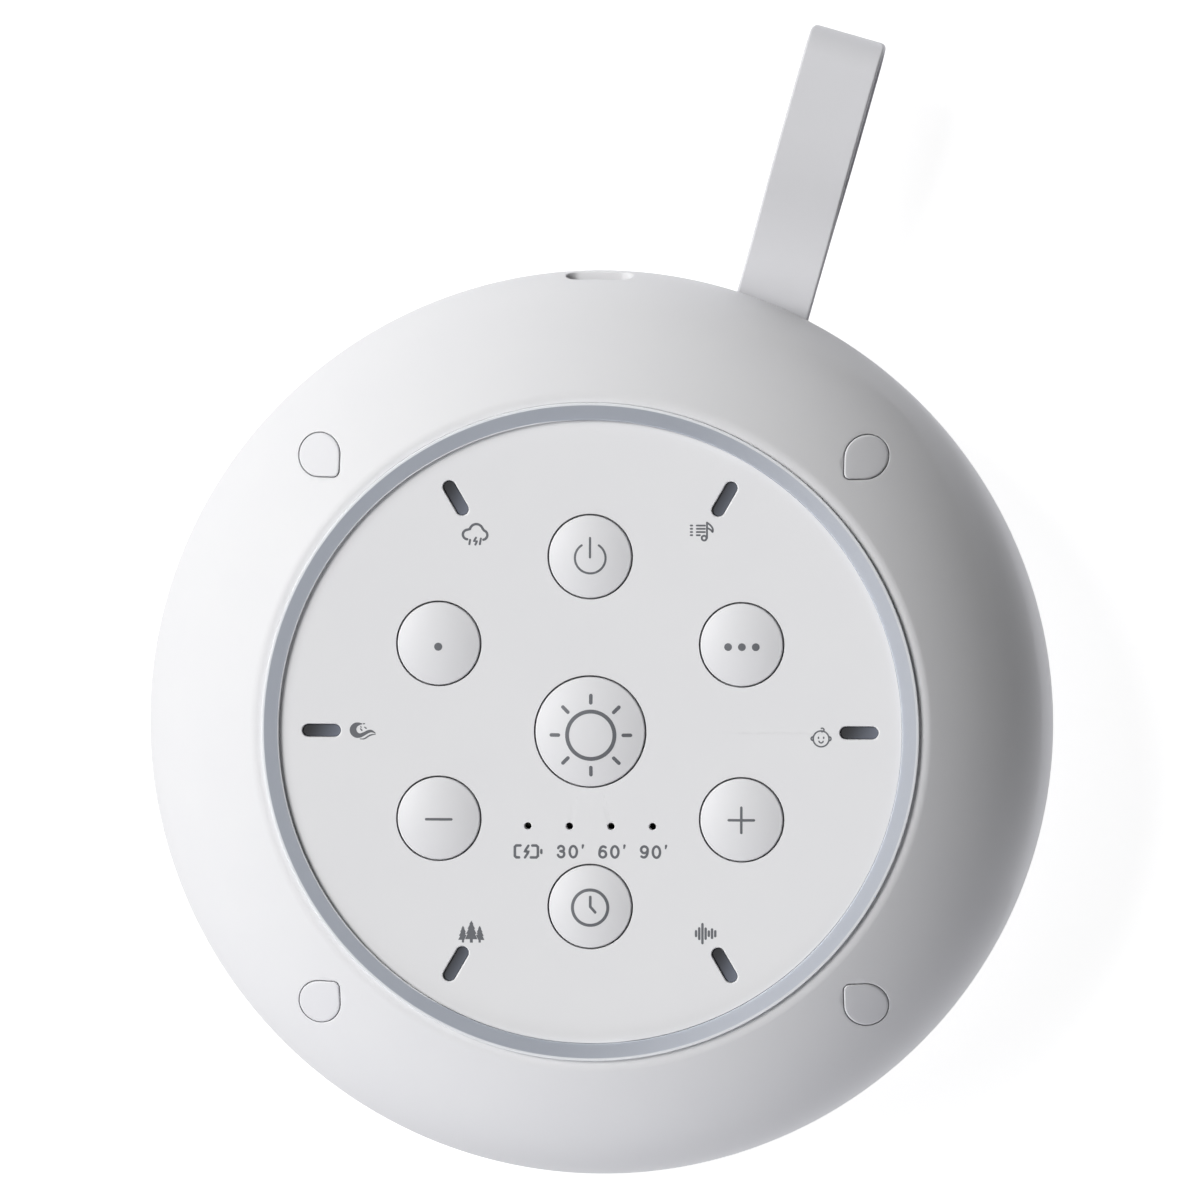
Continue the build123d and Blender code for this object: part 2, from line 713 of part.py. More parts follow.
# ---------------------------------------------------------------- buttons and switches
def button_cap(radius, crown_rise):
    """Hollow domed cap with a flange that stays under the panel and a stem to the switch."""
    rim = radius - cap_edge_round
    round_middle = (rim + cap_edge_round * sin(pi / 4), cap_edge_z - cap_edge_round * (1 - cos(pi / 4)))
    hollow_z = cap_edge_z - cap_top_wall
    flange = radius + cap_flange_width
    outline = dome(rim, panel_face_z + crown_rise, crown_rise - cap_edge_proud)
    outline += ThreePointArc((rim, cap_edge_z), round_middle, (radius, cap_edge_z - cap_edge_round))
    outline += Polyline((radius, cap_edge_z - cap_edge_round), (radius, flange_top_z), (flange, flange_top_z),
                        (flange, flange_bottom_z), (radius - cap_side_wall, flange_bottom_z),
                        (radius - cap_side_wall, hollow_z), (plunger_radius, hollow_z),
                        (plunger_radius, plunger_top_z), (0, plunger_top_z), (0, panel_face_z + crown_rise))
    return turned(outline)


def switch_body():
    bore = disc(plunger_radius + plunger_fit, board_top_z + switch_floor, switch_top_z)
    return block(both_sides(switch_side / 2), both_sides(switch_side / 2), (board_top_z, switch_top_z)) - bore


# ---------------------------------------------------------------- circuit board and lights
def circuit_board():
    board = disc(board_radius, board_bottom_z, board_top_z)
    for angle in board_post_angles:
        hole = disc(small_screw_radius + hole_clearance, board_bottom_z, board_top_z)
        board -= around(board_post_circle_radius, angle) * hole
    return board


def light_source(length, width):
    return block(both_sides(length / 2), both_sides(width / 2), (board_top_z, lights_top_z))


def chip(length, width):
    return block(both_sides(length / 2), both_sides(width / 2), (0, chip_height))


def wire_connector():
    """Socket for a plug on two leads, open on its outer side."""
    half = (connector_length / 2, connector_width / 2)
    body = block(both_sides(half[0]), both_sides(half[1]), (-connector_height, 0))
    room = block((-half[0], half[0] - connector_wall), both_sides(half[1] - connector_wall),
                 (connector_wall - connector_height, -connector_wall))
    return body - room


# ---------------------------------------------------------------- speaker
def speaker_gasket():
    inner = basket_top_radius + gasket_setback
    return tube(inner, speaker_radius, floor_z + cloth_thickness, speaker_front_z)


def speaker_frame():
    """Pressed basket with a flat flange, four ears and windows round its cone."""
    neck = basket_top_radius + basket_wall
    outline = Polyline((basket_top_radius, speaker_front_z), (speaker_radius, speaker_front_z),
                       (speaker_radius, speaker_flange_top_z), (neck, speaker_flange_top_z),
                       (basket_back_radius, basket_back_z), (coil_gap_radius, basket_back_z),
                       (coil_gap_radius, pole_front_z), (basket_back_radius - basket_wall, pole_front_z),
                       (basket_top_radius, speaker_flange_top_z), close=True)
    frame = turned(outline)
    window = block((basket_back_radius - basket_wall, speaker_radius), both_sides(basket_window_width / 2),
                   (speaker_flange_top_z + basket_band, basket_back_z - basket_band))
    for angle in angles(basket_window_count):
        frame -= Rot(0, 0, angle) * window
    ear = block((neck, speaker_ear_circle_radius), both_sides(speaker_ear_radius),
                (speaker_front_z, speaker_flange_top_z))
    ear += Pos(speaker_ear_circle_radius, 0) * disc(speaker_ear_radius, speaker_front_z, speaker_flange_top_z)
    hole = disc(small_screw_radius + hole_clearance, speaker_front_z, speaker_flange_top_z)
    for angle in speaker_ear_angles:
        frame += Rot(0, 0, angle) * ear
        frame -= around(speaker_ear_circle_radius, angle) * hole
    return frame


def speaker_magnet():
    """Pot magnet with a pole in the middle and a ring-shaped gap for the coil."""
    gap_z = magnet_top_z - magnet_back_thickness
    outline = Polyline((0, pole_front_z), (pole_radius, pole_front_z), (pole_radius, gap_z),
                       (coil_gap_radius, gap_z), (coil_gap_radius, basket_back_z),
                       (magnet_radius, basket_back_z), (magnet_radius, magnet_top_z),
                       (0, magnet_top_z), close=True)
    magnet = turned(outline)
    return fillet(magnet.edges().filter_by(GeomType.CIRCLE).group_by(Axis.Z)[-1], magnet_round)


def speaker_cone():
    """Shallow cone with a domed dust cap over its middle."""
    slope = cone_height / (cone_radius - coil_radius)
    cap_z = cone_edge_z + slope * (cone_radius - dust_cap_radius)
    cap = dome(dust_cap_radius, cap_z - dust_cap_rise, -dust_cap_rise)
    outline = cap + Polyline((dust_cap_radius, cap_z), (cone_radius, cone_edge_z),
                             (cone_radius, cone_edge_z + cone_thickness), (coil_radius, cone_back_z),
                             (0, cone_back_z), (0, cap_z - dust_cap_rise))
    return turned(outline)


def speaker_surround():
    """Half-round rubber roll between the cone and the basket."""
    inner = cone_radius + glue_line
    outer = basket_top_radius - glue_line
    middle = (inner + outer) / 2
    top_z = cone_edge_z + surround_thickness
    outline = ThreePointArc((inner, cone_edge_z), (middle, cone_edge_z - surround_rise), (outer, cone_edge_z))
    outline += Line((outer, cone_edge_z), (outer, top_z))
    outline += ThreePointArc((outer, top_z), (middle, top_z - surround_rise), (inner, top_z))
    outline += Line((inner, top_z), (inner, cone_edge_z))
    return turned(outline)


# ---------------------------------------------------------------- battery and charging
def battery_tray():
    """Flat tray on four posts, with a rim round the battery."""
    plate = RectangleRounded(tray_length, tray_width, tray_corner)
    for angle in (tray_post_angle, -tray_post_angle):
        plate += Rot(0, 0, angle) * Rectangle(2 * tray_post_circle_radius, 2 * tray_post_radius)
    for angle in tray_post_angles:
        plate += around(tray_post_circle_radius, angle) * Circle(tray_ear_radius)
        plate -= around(tray_post_circle_radius, angle) * Circle(small_screw_radius + hole_clearance)
    for step in (-1, 0, 1):
        plate -= Pos(0, step * tray_window_pitch) * SlotOverall(tray_window_length, tray_window_width)
    tray = Pos(0, 0, tray_z) * extrude(plate, tray_thickness)
    inside = [battery_length + 2 * battery_clearance, battery_width + 2 * battery_clearance]
    outside = [side + 2 * tray_rim_wall for side in inside]
    rim = Rectangle(*outside) - Rectangle(*inside)
    return tray + Pos(0, 0, tray_top_z) * extrude(rim, tray_rim_height)


def battery():
    """Flat lithium cell with rounded long edges."""
    cell = block(both_sides(battery_length / 2), both_sides(battery_width / 2),
                 (battery_bottom_z, battery_bottom_z + battery_height))
    return fillet(cell.edges().filter_by(Axis.X), battery_round)


def battery_pad():
    return block(both_sides(battery_length / 2 - pad_inset), both_sides(battery_width / 2 - pad_inset),
                 (tray_top_z, battery_bottom_z))


def charging_board():
    board = block(both_sides(charging_board_width / 2), (charging_back_y, charging_front_y),
                  (charging_board_z, receptacle_bottom_z))
    for x, y in charging_posts:
        board -= Pos(x, y) * disc(small_screw_radius + hole_clearance, charging_board_z, receptacle_bottom_z)
    return board


def charging_port():
    """Metal shell of the charging socket, open at the front."""
    back_y = receptacle_front_y - receptacle_length
    shell = SlotOverall(receptacle_width, receptacle_height)
    room = SlotOverall(receptacle_width - 2 * receptacle_wall, receptacle_height - 2 * receptacle_wall)
    plane = Plane(origin=(0, back_y, port_z), x_dir=(1, 0, 0), z_dir=(0, 1, 0))
    inside = Plane(origin=(0, back_y + receptacle_floor, port_z), x_dir=(1, 0, 0), z_dir=(0, 1, 0))
    return extrude(plane * shell, receptacle_length) - extrude(inside * room, receptacle_length)


def charging_port_tongue():
    back_y = receptacle_front_y - receptacle_length + receptacle_floor
    half = tongue_board_thickness / 2
    return block(both_sides(tongue_width / 2), (back_y, receptacle_front_y - tongue_setback),
                 (port_z - half, port_z + half))


# ---------------------------------------------------------------- foot and screws
def foot():
    pieces = []
    for outline in foot_outline(0):
        piece = extrude(outline, underside_z + foot_inset)
        pieces.append(fillet(piece.edges().group_by(Axis.Z)[0], foot_round))
    return Compound(children=pieces)


def case_screws():
    length = well_floor_z - parting_z + case_screw_grip
    one = screw(length, case_screw_radius, case_head_radius, case_head_height)
    lift = Pos(0, 0, well_floor_z)
    places = [around(case_screw_circle_radius, angle) * lift for angle in case_screw_angles]
    return at_places(one, places)


def board_screws():
    lift = Pos(0, 0, board_bottom_z) * Rot(180, 0, 0)
    places = [around(board_post_circle_radius, angle) * lift for angle in board_post_angles]
    return at_places(small_screw(board_thickness + small_screw_grip), places)


def tray_screws():
    lift = Pos(0, 0, tray_top_z)
    places = [around(tray_post_circle_radius, angle) * lift for angle in tray_post_angles]
    return at_places(small_screw(tray_thickness + small_screw_grip), places)


def speaker_screws():
    lift = Pos(0, 0, speaker_flange_top_z)
    places = [around(speaker_ear_circle_radius, angle) * lift for angle in speaker_ear_angles]
    return at_places(small_screw(speaker_flange_thickness + speaker_screw_grip), places)


def charging_screws():
    places = [Pos(x, y, receptacle_bottom_z) for x, y in charging_posts]
    return at_places(small_screw(board_thickness + small_screw_grip), places)


# ---------------------------------------------------------------- every piece, by its node's name
slot_places = [slot_place(angle) for angle in angles(slot_count)]
plug_places = [Rot(0, 0, angle) for angle in case_screw_angles]
leg_angles = angles(light_leg_count, light_leg_first_angle)
ring_light_places = [around(ring_mid_radius, angle) for angle in leg_angles]
ring_light = Rot(0, 0, 90) * light_source(ring_led_length, ring_led_width)
small_light = light_source(indicator_led_length, indicator_led_width)
charger = Pos(0, charging_post_y, receptacle_bottom_z) * chip(charging_chip_side, charging_chip_side)
plunger = disc(plunger_radius, plunger_top_z - plunger_length, plunger_top_z)

parts = {
    "top_shell": top_shell(),
    "base_shell": base_shell(),
    "control_panel": control_panel(),
    "light_ring": light_ring(),
    "screw_plugs": at_places(screw_plug(), plug_places),
    "indicator_lenses": at_places(indicator_lens(), slot_places),
    "timer_light_guide": timer_light_guide(),
    "circuit_board": circuit_board(),
    "tact_switches": at_places(switch_body(), button_places().values()),
    "ring_lights": at_places(ring_light, ring_light_places),
    "indicator_lights": at_places(small_light, slot_places),
    "timer_lights": at_places(small_light, timer_light_places()),
    "controller_chip": Pos(*controller_place, board_top_z) * chip(controller_side, controller_side),
    "amplifier_chip": Pos(*amplifier_place, board_top_z) * chip(amplifier_length, amplifier_width),
    "battery_connector": Pos(connector_x, connector_y, board_bottom_z) * wire_connector(),
    "speaker_connector": Pos(connector_x, -connector_y, board_bottom_z) * wire_connector(),
    "grille_cloth": disc(speaker_radius, floor_z, floor_z + cloth_thickness),
    "speaker_gasket": speaker_gasket(),
    "speaker_frame": speaker_frame(),
    "speaker_magnet": speaker_magnet(),
    "speaker_cone": speaker_cone(),
    "speaker_surround": speaker_surround(),
    "voice_coil": tube(coil_radius - coil_wall, coil_radius, cone_back_z, cone_back_z + coil_length),
    "battery_tray": battery_tray(),
    "battery_pad": battery_pad(),
    "battery": battery(),
    "charging_board": charging_board(),
    "charging_port": charging_port(),
    "charging_port_tongue": charging_port_tongue(),
    "charging_chip": charger,
    "strap": strap(),
    "strap_pin": strap_pin(),
    "foot": foot(),
    "case_screws": case_screws(),
    "board_screws": board_screws(),
    "tray_screws": tray_screws(),
    "speaker_screws": speaker_screws(),
    "charging_screws": charging_screws(),
}
for name, place in button_places().items():
    crown_rise = large_crown_rise if name == "light_button" else small_crown_rise
    parts[name] = place * button_cap(cap_radius(name), crown_rise)
    parts[name.replace("button", "plunger")] = place * plunger

os.makedirs("parts", exist_ok=True)
for name, shape in parts.items():
    export_step(shape, f"parts/{name}.step")
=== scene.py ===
"""Looks of a white noise sound machine: a round case with a key panel in a light ring.

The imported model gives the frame. Sizes here are in millimetres and become metres when a mesh is
made. Every visible node is replaced by a finer piece at the same place, or dressed with its own
material.
"""

from __future__ import annotations

import logging
from collections.abc import Callable, Sequence
from dataclasses import dataclass, field
from enum import Enum
from math import acos, asin, ceil, cos, hypot, pi, radians, sin, sqrt

import bmesh
import bpy
from mathutils import Matrix, Vector

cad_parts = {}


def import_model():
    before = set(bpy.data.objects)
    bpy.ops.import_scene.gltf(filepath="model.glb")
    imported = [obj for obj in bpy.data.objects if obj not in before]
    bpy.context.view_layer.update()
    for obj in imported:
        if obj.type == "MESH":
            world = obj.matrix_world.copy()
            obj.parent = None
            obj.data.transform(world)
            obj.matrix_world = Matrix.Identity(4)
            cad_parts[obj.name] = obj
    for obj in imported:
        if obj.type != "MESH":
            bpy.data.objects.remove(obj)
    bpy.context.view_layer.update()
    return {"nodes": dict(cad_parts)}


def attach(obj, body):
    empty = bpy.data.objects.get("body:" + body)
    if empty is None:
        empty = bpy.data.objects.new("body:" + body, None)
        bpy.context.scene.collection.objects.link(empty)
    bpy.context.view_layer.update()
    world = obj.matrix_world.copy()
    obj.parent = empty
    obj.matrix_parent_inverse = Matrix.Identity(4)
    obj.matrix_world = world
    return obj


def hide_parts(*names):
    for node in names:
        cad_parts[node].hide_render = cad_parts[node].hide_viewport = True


MM = 0.001
PAST = 0.5  # how far a tool reaches past a face, and an added solid into one, in millimetres
LOG = logging.getLogger("sound_machine")
Flat = tuple[float, float]
Point = tuple[float, float, float]
Path = Sequence[Sequence[float]]
Surface = Callable[[float, float], float]
Piece = bpy.types.Object
Tree = bpy.types.NodeTree
Wire = bpy.types.NodeSocket


# ---------------------------------------------------------------- plane outlines, in millimetres
def arc(centre: Flat, radius: float, start: float, end: float, steps: int) -> list[Flat]:
    """Points along an arc.

    Args:
        centre: the arc's centre.
        radius: its radius.
        start: first angle, in degrees.
        end: last angle, in degrees.
        steps: number of equal steps between them.

    Returns:
        The steps + 1 points in order.
    """
    turns = [radians(start + (end - start) * step / steps) for step in range(steps + 1)]
    return [(centre[0] + radius * cos(turn), centre[1] + radius * sin(turn)) for turn in turns]


def ring(centre: Flat, radius: float, count: int) -> list[Flat]:
    """A closed circle of count points."""
    return arc(centre, radius, 0, 360, count)[:-1]


def stadium(length: float, width: float, steps: int = 12) -> list[Flat]:
    """A closed outline of a bar with round ends, longest along the first axis."""
    half, end = width / 2, (length - width) / 2
    return arc((end, 0), half, -90, 90, steps) + arc((-end, 0), half, 90, 270, steps)


def rounded_box(length: float, width: float, corner: float, steps: int = 6) -> list[Flat]:
    """A closed rectangle with round corners about the origin.

    Args:
        length: its size along the first axis.
        width: its size along the second.
        corner: radius of the corners.
        steps: number of steps round each corner.

    Returns:
        The points in order.
    """
    x, y = length / 2 - corner, width / 2 - corner
    places = (((x, y), 0), ((-x, y), 90), ((-x, -y), 180), ((x, -y), 270))
    return [point for place, turn in places for point in arc(place, corner, turn, turn + 90, steps)]


def bent_bar(radius: float, width: float, start: float, end: float, steps: int = 96) -> list[Flat]:
    """A closed outline of a bar with round ends that is bent along an arc about the origin.

    Args:
        radius: radius of its middle line.
        width: its width.
        start: first angle of the middle line, in degrees.
        end: last angle, in degrees.
        steps: number of steps along it.

    Returns:
        The points in order.
    """
    half = width / 2
    first, last = (arc((0, 0), radius, turn, turn, 1)[0] for turn in (start, end))
    outline = arc((0, 0), radius + half, start, end, steps)
    outline += arc(last, half, end, end + 180, 12)[1:-1]
    outline += arc((0, 0), radius - half, end, start, steps)
    return outline + arc(first, half, start + 180, start + 360, 12)[1:-1]


def bezier(points: Sequence[Flat], steps: int) -> list[Flat]:
    """Points along a cubic curve, without its first point.

    Args:
        points: the curve's four control points.
        steps: number of equal steps.

    Returns:
        The points in order.
    """
    found = []
    for step in range(1, steps + 1):
        t = step / steps
        weights = ((1 - t) ** 3, 3 * t * (1 - t) ** 2, 3 * t * t * (1 - t), t ** 3)
        found.append(tuple(sum(w * p[axis] for w, p in zip(weights, points)) for axis in (0, 1)))
    return found


def inset(outline: Sequence[Flat], depth: float) -> list[Flat]:
    """A closed outline that runs counter-clockwise, moved inwards by depth, point by point.

    Args:
        outline: the points in order.
        depth: how far each moves. It may be negative.

    Returns:
        The moved points.
    """
    moved = []
    for index, (x, y) in enumerate(outline):
        before, after = outline[index - 1], outline[(index + 1) % len(outline)]
        dx, dy = after[0] - before[0], after[1] - before[1]
        reach = hypot(dx, dy) or 1.0
        moved.append((x - depth * dy / reach, y + depth * dx / reach))
    return moved


def rounded_levels(radius: float, steps: int) -> list[Flat]:
    """How far in and down each level of a quarter-round edge lies, from the side to the top."""
    turns = [radians(90 * step / steps) for step in range(steps + 1)]
    return [(radius * (1 - cos(turn)), radius * (1 - sin(turn))) for turn in turns]


def rounded_mouth(row: Callable[[float, float], list[Point]], edge: float, steps: int = 5,
                  out: float = 2.5, up: float = 1.5) -> list[list[Point]]:
    """Rows of a cutter for a hole whose mouth is rounded.

    Args:
        row: gives the hole's outline, grown by one length and lifted over the face by another.
        edge: radius of the rounded mouth.
        steps: number of steps round it.
        out: growth of the cutter's last row, as a share of the edge.
        up: lift of that row over the face, as a share of the edge.

    Returns:
        The rows from the edge's foot to outside the face.
    """
    rows = [row(into, -down) for into, down in rounded_levels(edge, steps)]
    return [*rows, row(out * edge, up * edge)]


# ---------------------------------------------------------------- solids
class Form:
    """Points and faces of one or more closed forms, in millimetres."""

    def __init__(self) -> None:
        """Starts with nothing."""
        self.points: list[Point] = []
        self.faces: list[list[int]] = []

    def put(self, points: Sequence[Sequence[float]]) -> list[int]:
        """Adds points and returns their numbers.

        Args:
            points: their places.

        Returns:
            Their numbers.
        """
        first = len(self.points)
        self.points += [tuple(point) for point in points]
        return list(range(first, len(self.points)))

    def bridge(self, low: list[int], high: list[int]) -> None:
        """Joins two closed rows of points, of which either may be a single pole.

        Args:
            low: numbers of the first row.
            high: numbers of the second row.
        """
        count = max(len(low), len(high))
        for index in range(count):
            after = (index + 1) % count
            if len(low) == 1:
                self.faces.append([low[0], high[after], high[index]])
            elif len(high) == 1:
                self.faces.append([low[index], low[after], high[0]])
            else:
                self.faces.append([low[index], low[after], high[after], high[index]])

    def turn(self, profile: Sequence[Flat], segments: int, centre: Flat = (0.0, 0.0)) -> Form:
        """Turns a profile about an upright axis.

        Args:
            profile: radius and height of each point. It starts and ends on the axis, or is a loop.
            segments: number of steps round the axis.
            centre: where the axis stands.

        Returns:
            This form.
        """
        rows = []
        for radius, height in profile:
            if radius < 1e-9:
                rows.append(self.put([(*centre, height)]))
            else:
                circle = ring(centre, radius, segments)
                rows.append(self.put([(x, y, height) for x, y in circle]))
        for low, high in zip(rows, rows[1:]):
            self.bridge(low, high)
        if len(rows[0]) > 1:
            self.bridge(rows[-1], rows[0])
        return self

    def loft(self, rows: Sequence[Sequence[Sequence[float]]]) -> Form:
        """Joins closed rows of equally many points, and closes both ends.

        Args:
            rows: the rows in order. A row of one point is a pole.

        Returns:
            This form.
        """
        numbered = [self.put(row) for row in rows]
        for low, high in zip(numbered, numbered[1:]):
            self.bridge(low, high)
        for end in (numbered[0], numbered[-1]):
            if len(end) > 2:
                self.faces.append(list(end))
        return self

    def mesh(self, name: str) -> bpy.types.Mesh:
        """Makes the mesh in metres, with every face pointing outwards.

        Args:
            name: its name.

        Returns:
            The mesh.
        """
        mesh = bpy.data.meshes.new(name)
        mesh.from_pydata([[value * MM for value in point] for point in self.points], [], self.faces)
        work = bmesh.new()
        work.from_mesh(mesh)
        bmesh.ops.recalc_face_normals(work, faces=work.faces)
        work.to_mesh(mesh)
        work.free()
        return mesh

    def piece(self, name: str) -> Piece:
        """Makes an object at the origin that holds the mesh.

        Args:
            name: its name.

        Returns:
            The object.
        """
        made = bpy.data.objects.new(name, self.mesh(name))
        bpy.context.scene.collection.objects.link(made)
        return made


def upright(outline: Sequence[Flat], height: float) -> list[Point]:
    """A level row of points at a height."""
    return [(x, y, height) for x, y in outline]


def settle(piece: Piece) -> None:
    """Turns what a piece's modifiers make into its own mesh, and removes the modifiers.

    Args:
        piece: the piece that is changed.
    """
    graph = bpy.context.evaluated_depsgraph_get()
    made = bpy.data.meshes.new_from_object(piece.evaluated_get(graph), depsgraph=graph)
    piece.modifiers.clear()
    old, piece.data = piece.data, made
    bpy.data.meshes.remove(old)


class Joining(Enum):
    """What a boolean step does with its tool."""

    CUT = "DIFFERENCE"
    ADD = "UNION"
    KEEP_SHARED = "INTERSECT"


def combine(piece: Piece, tool: Piece, how: Joining = Joining.CUT) -> Piece:
    """Cuts, adds or intersects a piece with a tool, which is used up.

    Args:
        piece: the piece that is changed.
        tool: the closed form that changes it.
        how: what the step does.

    Returns:
        The changed piece.
    """
    step = piece.modifiers.new("combine", "BOOLEAN")
    step.operation = how.value
    step.solver = "EXACT"
    step.object = tool
    settle(piece)
    bpy.data.objects.remove(tool)
    return piece


def soften(piece: Piece, angle: float = 32.0) -> Piece:
    """Shades a piece smoothly, with flat faces kept flat and edges past the angle kept sharp.

    Args:
        piece: the piece that is changed.
        angle: in degrees.

    Returns:
        The piece.
    """
    piece.data.shade_smooth()
    piece.data.set_sharp_from_angle(angle=radians(angle))
    step = piece.modifiers.new("normals", "WEIGHTED_NORMAL")
    step.mode, step.weight, step.keep_sharp = "FACE_AREA", 50, True
    settle(piece)
    return piece


# ---------------------------------------------------------------- nodes
def add(tree: Tree, kind: str, inputs: dict | None = None,
        **settings: object) -> bpy.types.Node:
    """Adds a node with its settings and links.

    Args:
        tree: the tree that gets it.
        kind: the node's type.
        inputs: a value or an output socket for each input, by name or number.
        settings: the node's own properties.

    Returns:
        The node.
    """
    node = tree.nodes.new(kind)
    for name, value in settings.items():
        setattr(node, name, value)
    for key, value in (inputs or {}).items():
        if isinstance(value, Wire):
            tree.links.new(value, node.inputs[key])
        else:
            node.inputs[key].default_value = value
    return node


def calc(tree: Tree, operation: str, *values: Wire | float) -> Wire:
    """The result of one step of arithmetic."""
    return add(tree, "ShaderNodeMath", dict(enumerate(values)), operation=operation).outputs[0]


def vector(tree: Tree, operation: str, *values: Wire | Point, output: int | str = 0) -> Wire:
    """One result of a step of vector arithmetic."""
    step = add(tree, "ShaderNodeVectorMath", dict(enumerate(values)), operation=operation)
    return step.outputs[output]


class Pattern:
    """A geometry tree with named inputs that places copies of a piece."""

    def __init__(self, name: str, inputs: dict[str, str]) -> None:
        """Makes the tree with a geometry input, the named inputs and a material input.

        Args:
            name: its name.
            inputs: the socket type of each named input.
        """
        self.tree = bpy.data.node_groups.new(name, "GeometryNodeTree")
        face = self.tree.interface
        face.new_socket(name="Geometry", in_out="OUTPUT", socket_type="NodeSocketGeometry")
        face.new_socket(name="Geometry", in_out="INPUT", socket_type="NodeSocketGeometry")
        kinds = {**inputs, "Material": "NodeSocketMaterial"}
        self.keys = {
            label: face.new_socket(name=label, in_out="INPUT", socket_type=kind).identifier
            for label, kind in kinds.items()
        }
        self.given = add(self.tree, "NodeGroupInput").outputs

    def math(self, operation: str, *values: Wire | float) -> Wire:
        """The result of one step of arithmetic in this tree."""
        return calc(self.tree, operation, *values)

    def place(self, count: Wire, turn: Wire | float, shift: Sequence[Wire | float],
              turn_first: bool) -> None:
        """Places a copy on each of count points and ends the tree.

        Args:
            count: number of copies.
            turn: each copy's turn about the Z axis.
            shift: how far each copy is moved.
            turn_first: moves each copy along its own turned axes, not the frame's.
        """
        zero = (0.0, 0.0, 0.0)
        points = add(self.tree, "GeometryNodePoints", {"Count": count, "Position": zero}).outputs[0]
        facing = add(self.tree, "ShaderNodeCombineXYZ", {"Z": turn}).outputs[0]
        copies = add(self.tree, "GeometryNodeInstanceOnPoints", {
            "Points": points, "Instance": self.given["Geometry"], "Rotation": facing}).outputs[0]
        moved = add(self.tree, "ShaderNodeCombineXYZ", dict(enumerate(shift))).outputs[0]
        copies = add(self.tree, "GeometryNodeTranslateInstances", {
            "Instances": copies, "Translation": moved, "Local Space": turn_first}).outputs[0]
        solid = add(self.tree, "GeometryNodeRealizeInstances", {"Geometry": copies}).outputs[0]
        dressed = add(self.tree, "GeometryNodeSetMaterial",
                      {"Geometry": solid, "Material": self.given["Material"]}).outputs[0]
        add(self.tree, "NodeGroupOutput", {0: dressed})

    def repeat(self, piece: Piece, material: bpy.types.Material, **values: float) -> Piece:
        """Repeats a piece by the tree's rule and keeps the result as its plain mesh.

        Args:
            piece: the piece to repeat.
            material: the material of every copy.
            values: a value for each named input, with _ for a space.

        Returns:
            The piece.
        """
        step = piece.modifiers.new(self.tree.name, "NODES")
        step.node_group = self.tree
        for label, value in {**values, "Material": material}.items():
            step[self.keys[label.replace("_", " ")]] = value
        settle(piece)
        return piece


def round_array() -> Pattern:
    """Copies at even angles on a circle, each turned to face outwards.

    Returns:
        The tree.
    """
    pattern = Pattern("Round array", {"Count": "NodeSocketInt", "Radius": "NodeSocketFloat",
                                      "First angle": "NodeSocketFloat"})
    index = add(pattern.tree, "GeometryNodeInputIndex").outputs[0]
    step = pattern.math("DIVIDE", 2 * pi, pattern.given["Count"])
    turn = pattern.math("MULTIPLY_ADD", index, step, pattern.given["First angle"])
    pattern.place(pattern.given["Count"], turn, (pattern.given["Radius"], 0.0, 0.0), True)
    return pattern


def row_array() -> Pattern:
    """Copies in an evenly spaced row along the X axis, centred on the piece.

    Returns:
        The tree.
    """
    pattern = Pattern("Row array", {"Count": "NodeSocketInt", "Pitch": "NodeSocketFloat"})
    index = add(pattern.tree, "GeometryNodeInputIndex").outputs[0]
    last = pattern.math("SUBTRACT", pattern.given["Count"], 1.0)
    centred = pattern.math("MULTIPLY_ADD", last, -0.5, index)
    reach = pattern.math("MULTIPLY", centred, pattern.given["Pitch"])
    pattern.place(pattern.given["Count"], 0.0, (reach, 0.0, 0.0), False)
    return pattern


def grille_array() -> Pattern:
    """Copies on even rings round one in the middle, with six more on each ring than the last.

    Returns:
        The tree.
    """
    pattern = Pattern("Grille rings", {"Count": "NodeSocketInt", "Pitch": "NodeSocketFloat"})
    index = add(pattern.tree, "GeometryNodeInputIndex").outputs[0]
    math = pattern.math
    # A ring's number solves 3 n (n - 1) + 1 <= index, as that many copies lie inside ring n.
    square = math("MAXIMUM", math("MULTIPLY_ADD", index, 12.0, -3.0), 0.0)
    number = math("FLOOR", math("DIVIDE", math("ADD", math("SQRT", square), 3.0), 6.0))
    number = math("MULTIPLY", number, math("GREATER_THAN", index, 0.5))
    before = math("MULTIPLY", math("MULTIPLY", number, 3.0), math("SUBTRACT", number, 1.0))
    place = math("SUBTRACT", math("SUBTRACT", index, 1.0), before)
    around = math("MULTIPLY", math("MAXIMUM", number, 1.0), 6.0)
    turn = math("MULTIPLY", math("DIVIDE", place, around), 2 * pi)
    reach = math("MULTIPLY", number, pattern.given["Pitch"])
    pattern.place(pattern.given["Count"], turn, (reach, 0.0, 0.0), True)
    return pattern


# ---------------------------------------------------------------- materials
def linear(colour: str) -> tuple[float, float, float, float]:
    """The linear colour of an sRGB hex value.

    Args:
        colour: the value, such as #FFFFFF.

    Returns:
        Red, green, blue and an alpha of 1.
    """
    shares = [int(colour[start:start + 2], 16) / 255 for start in (1, 3, 5)]
    found = [share / 12.92 if share <= 0.04045 else ((share + 0.055) / 1.055) ** 2.4
             for share in shares]
    return (*found, 1.0)


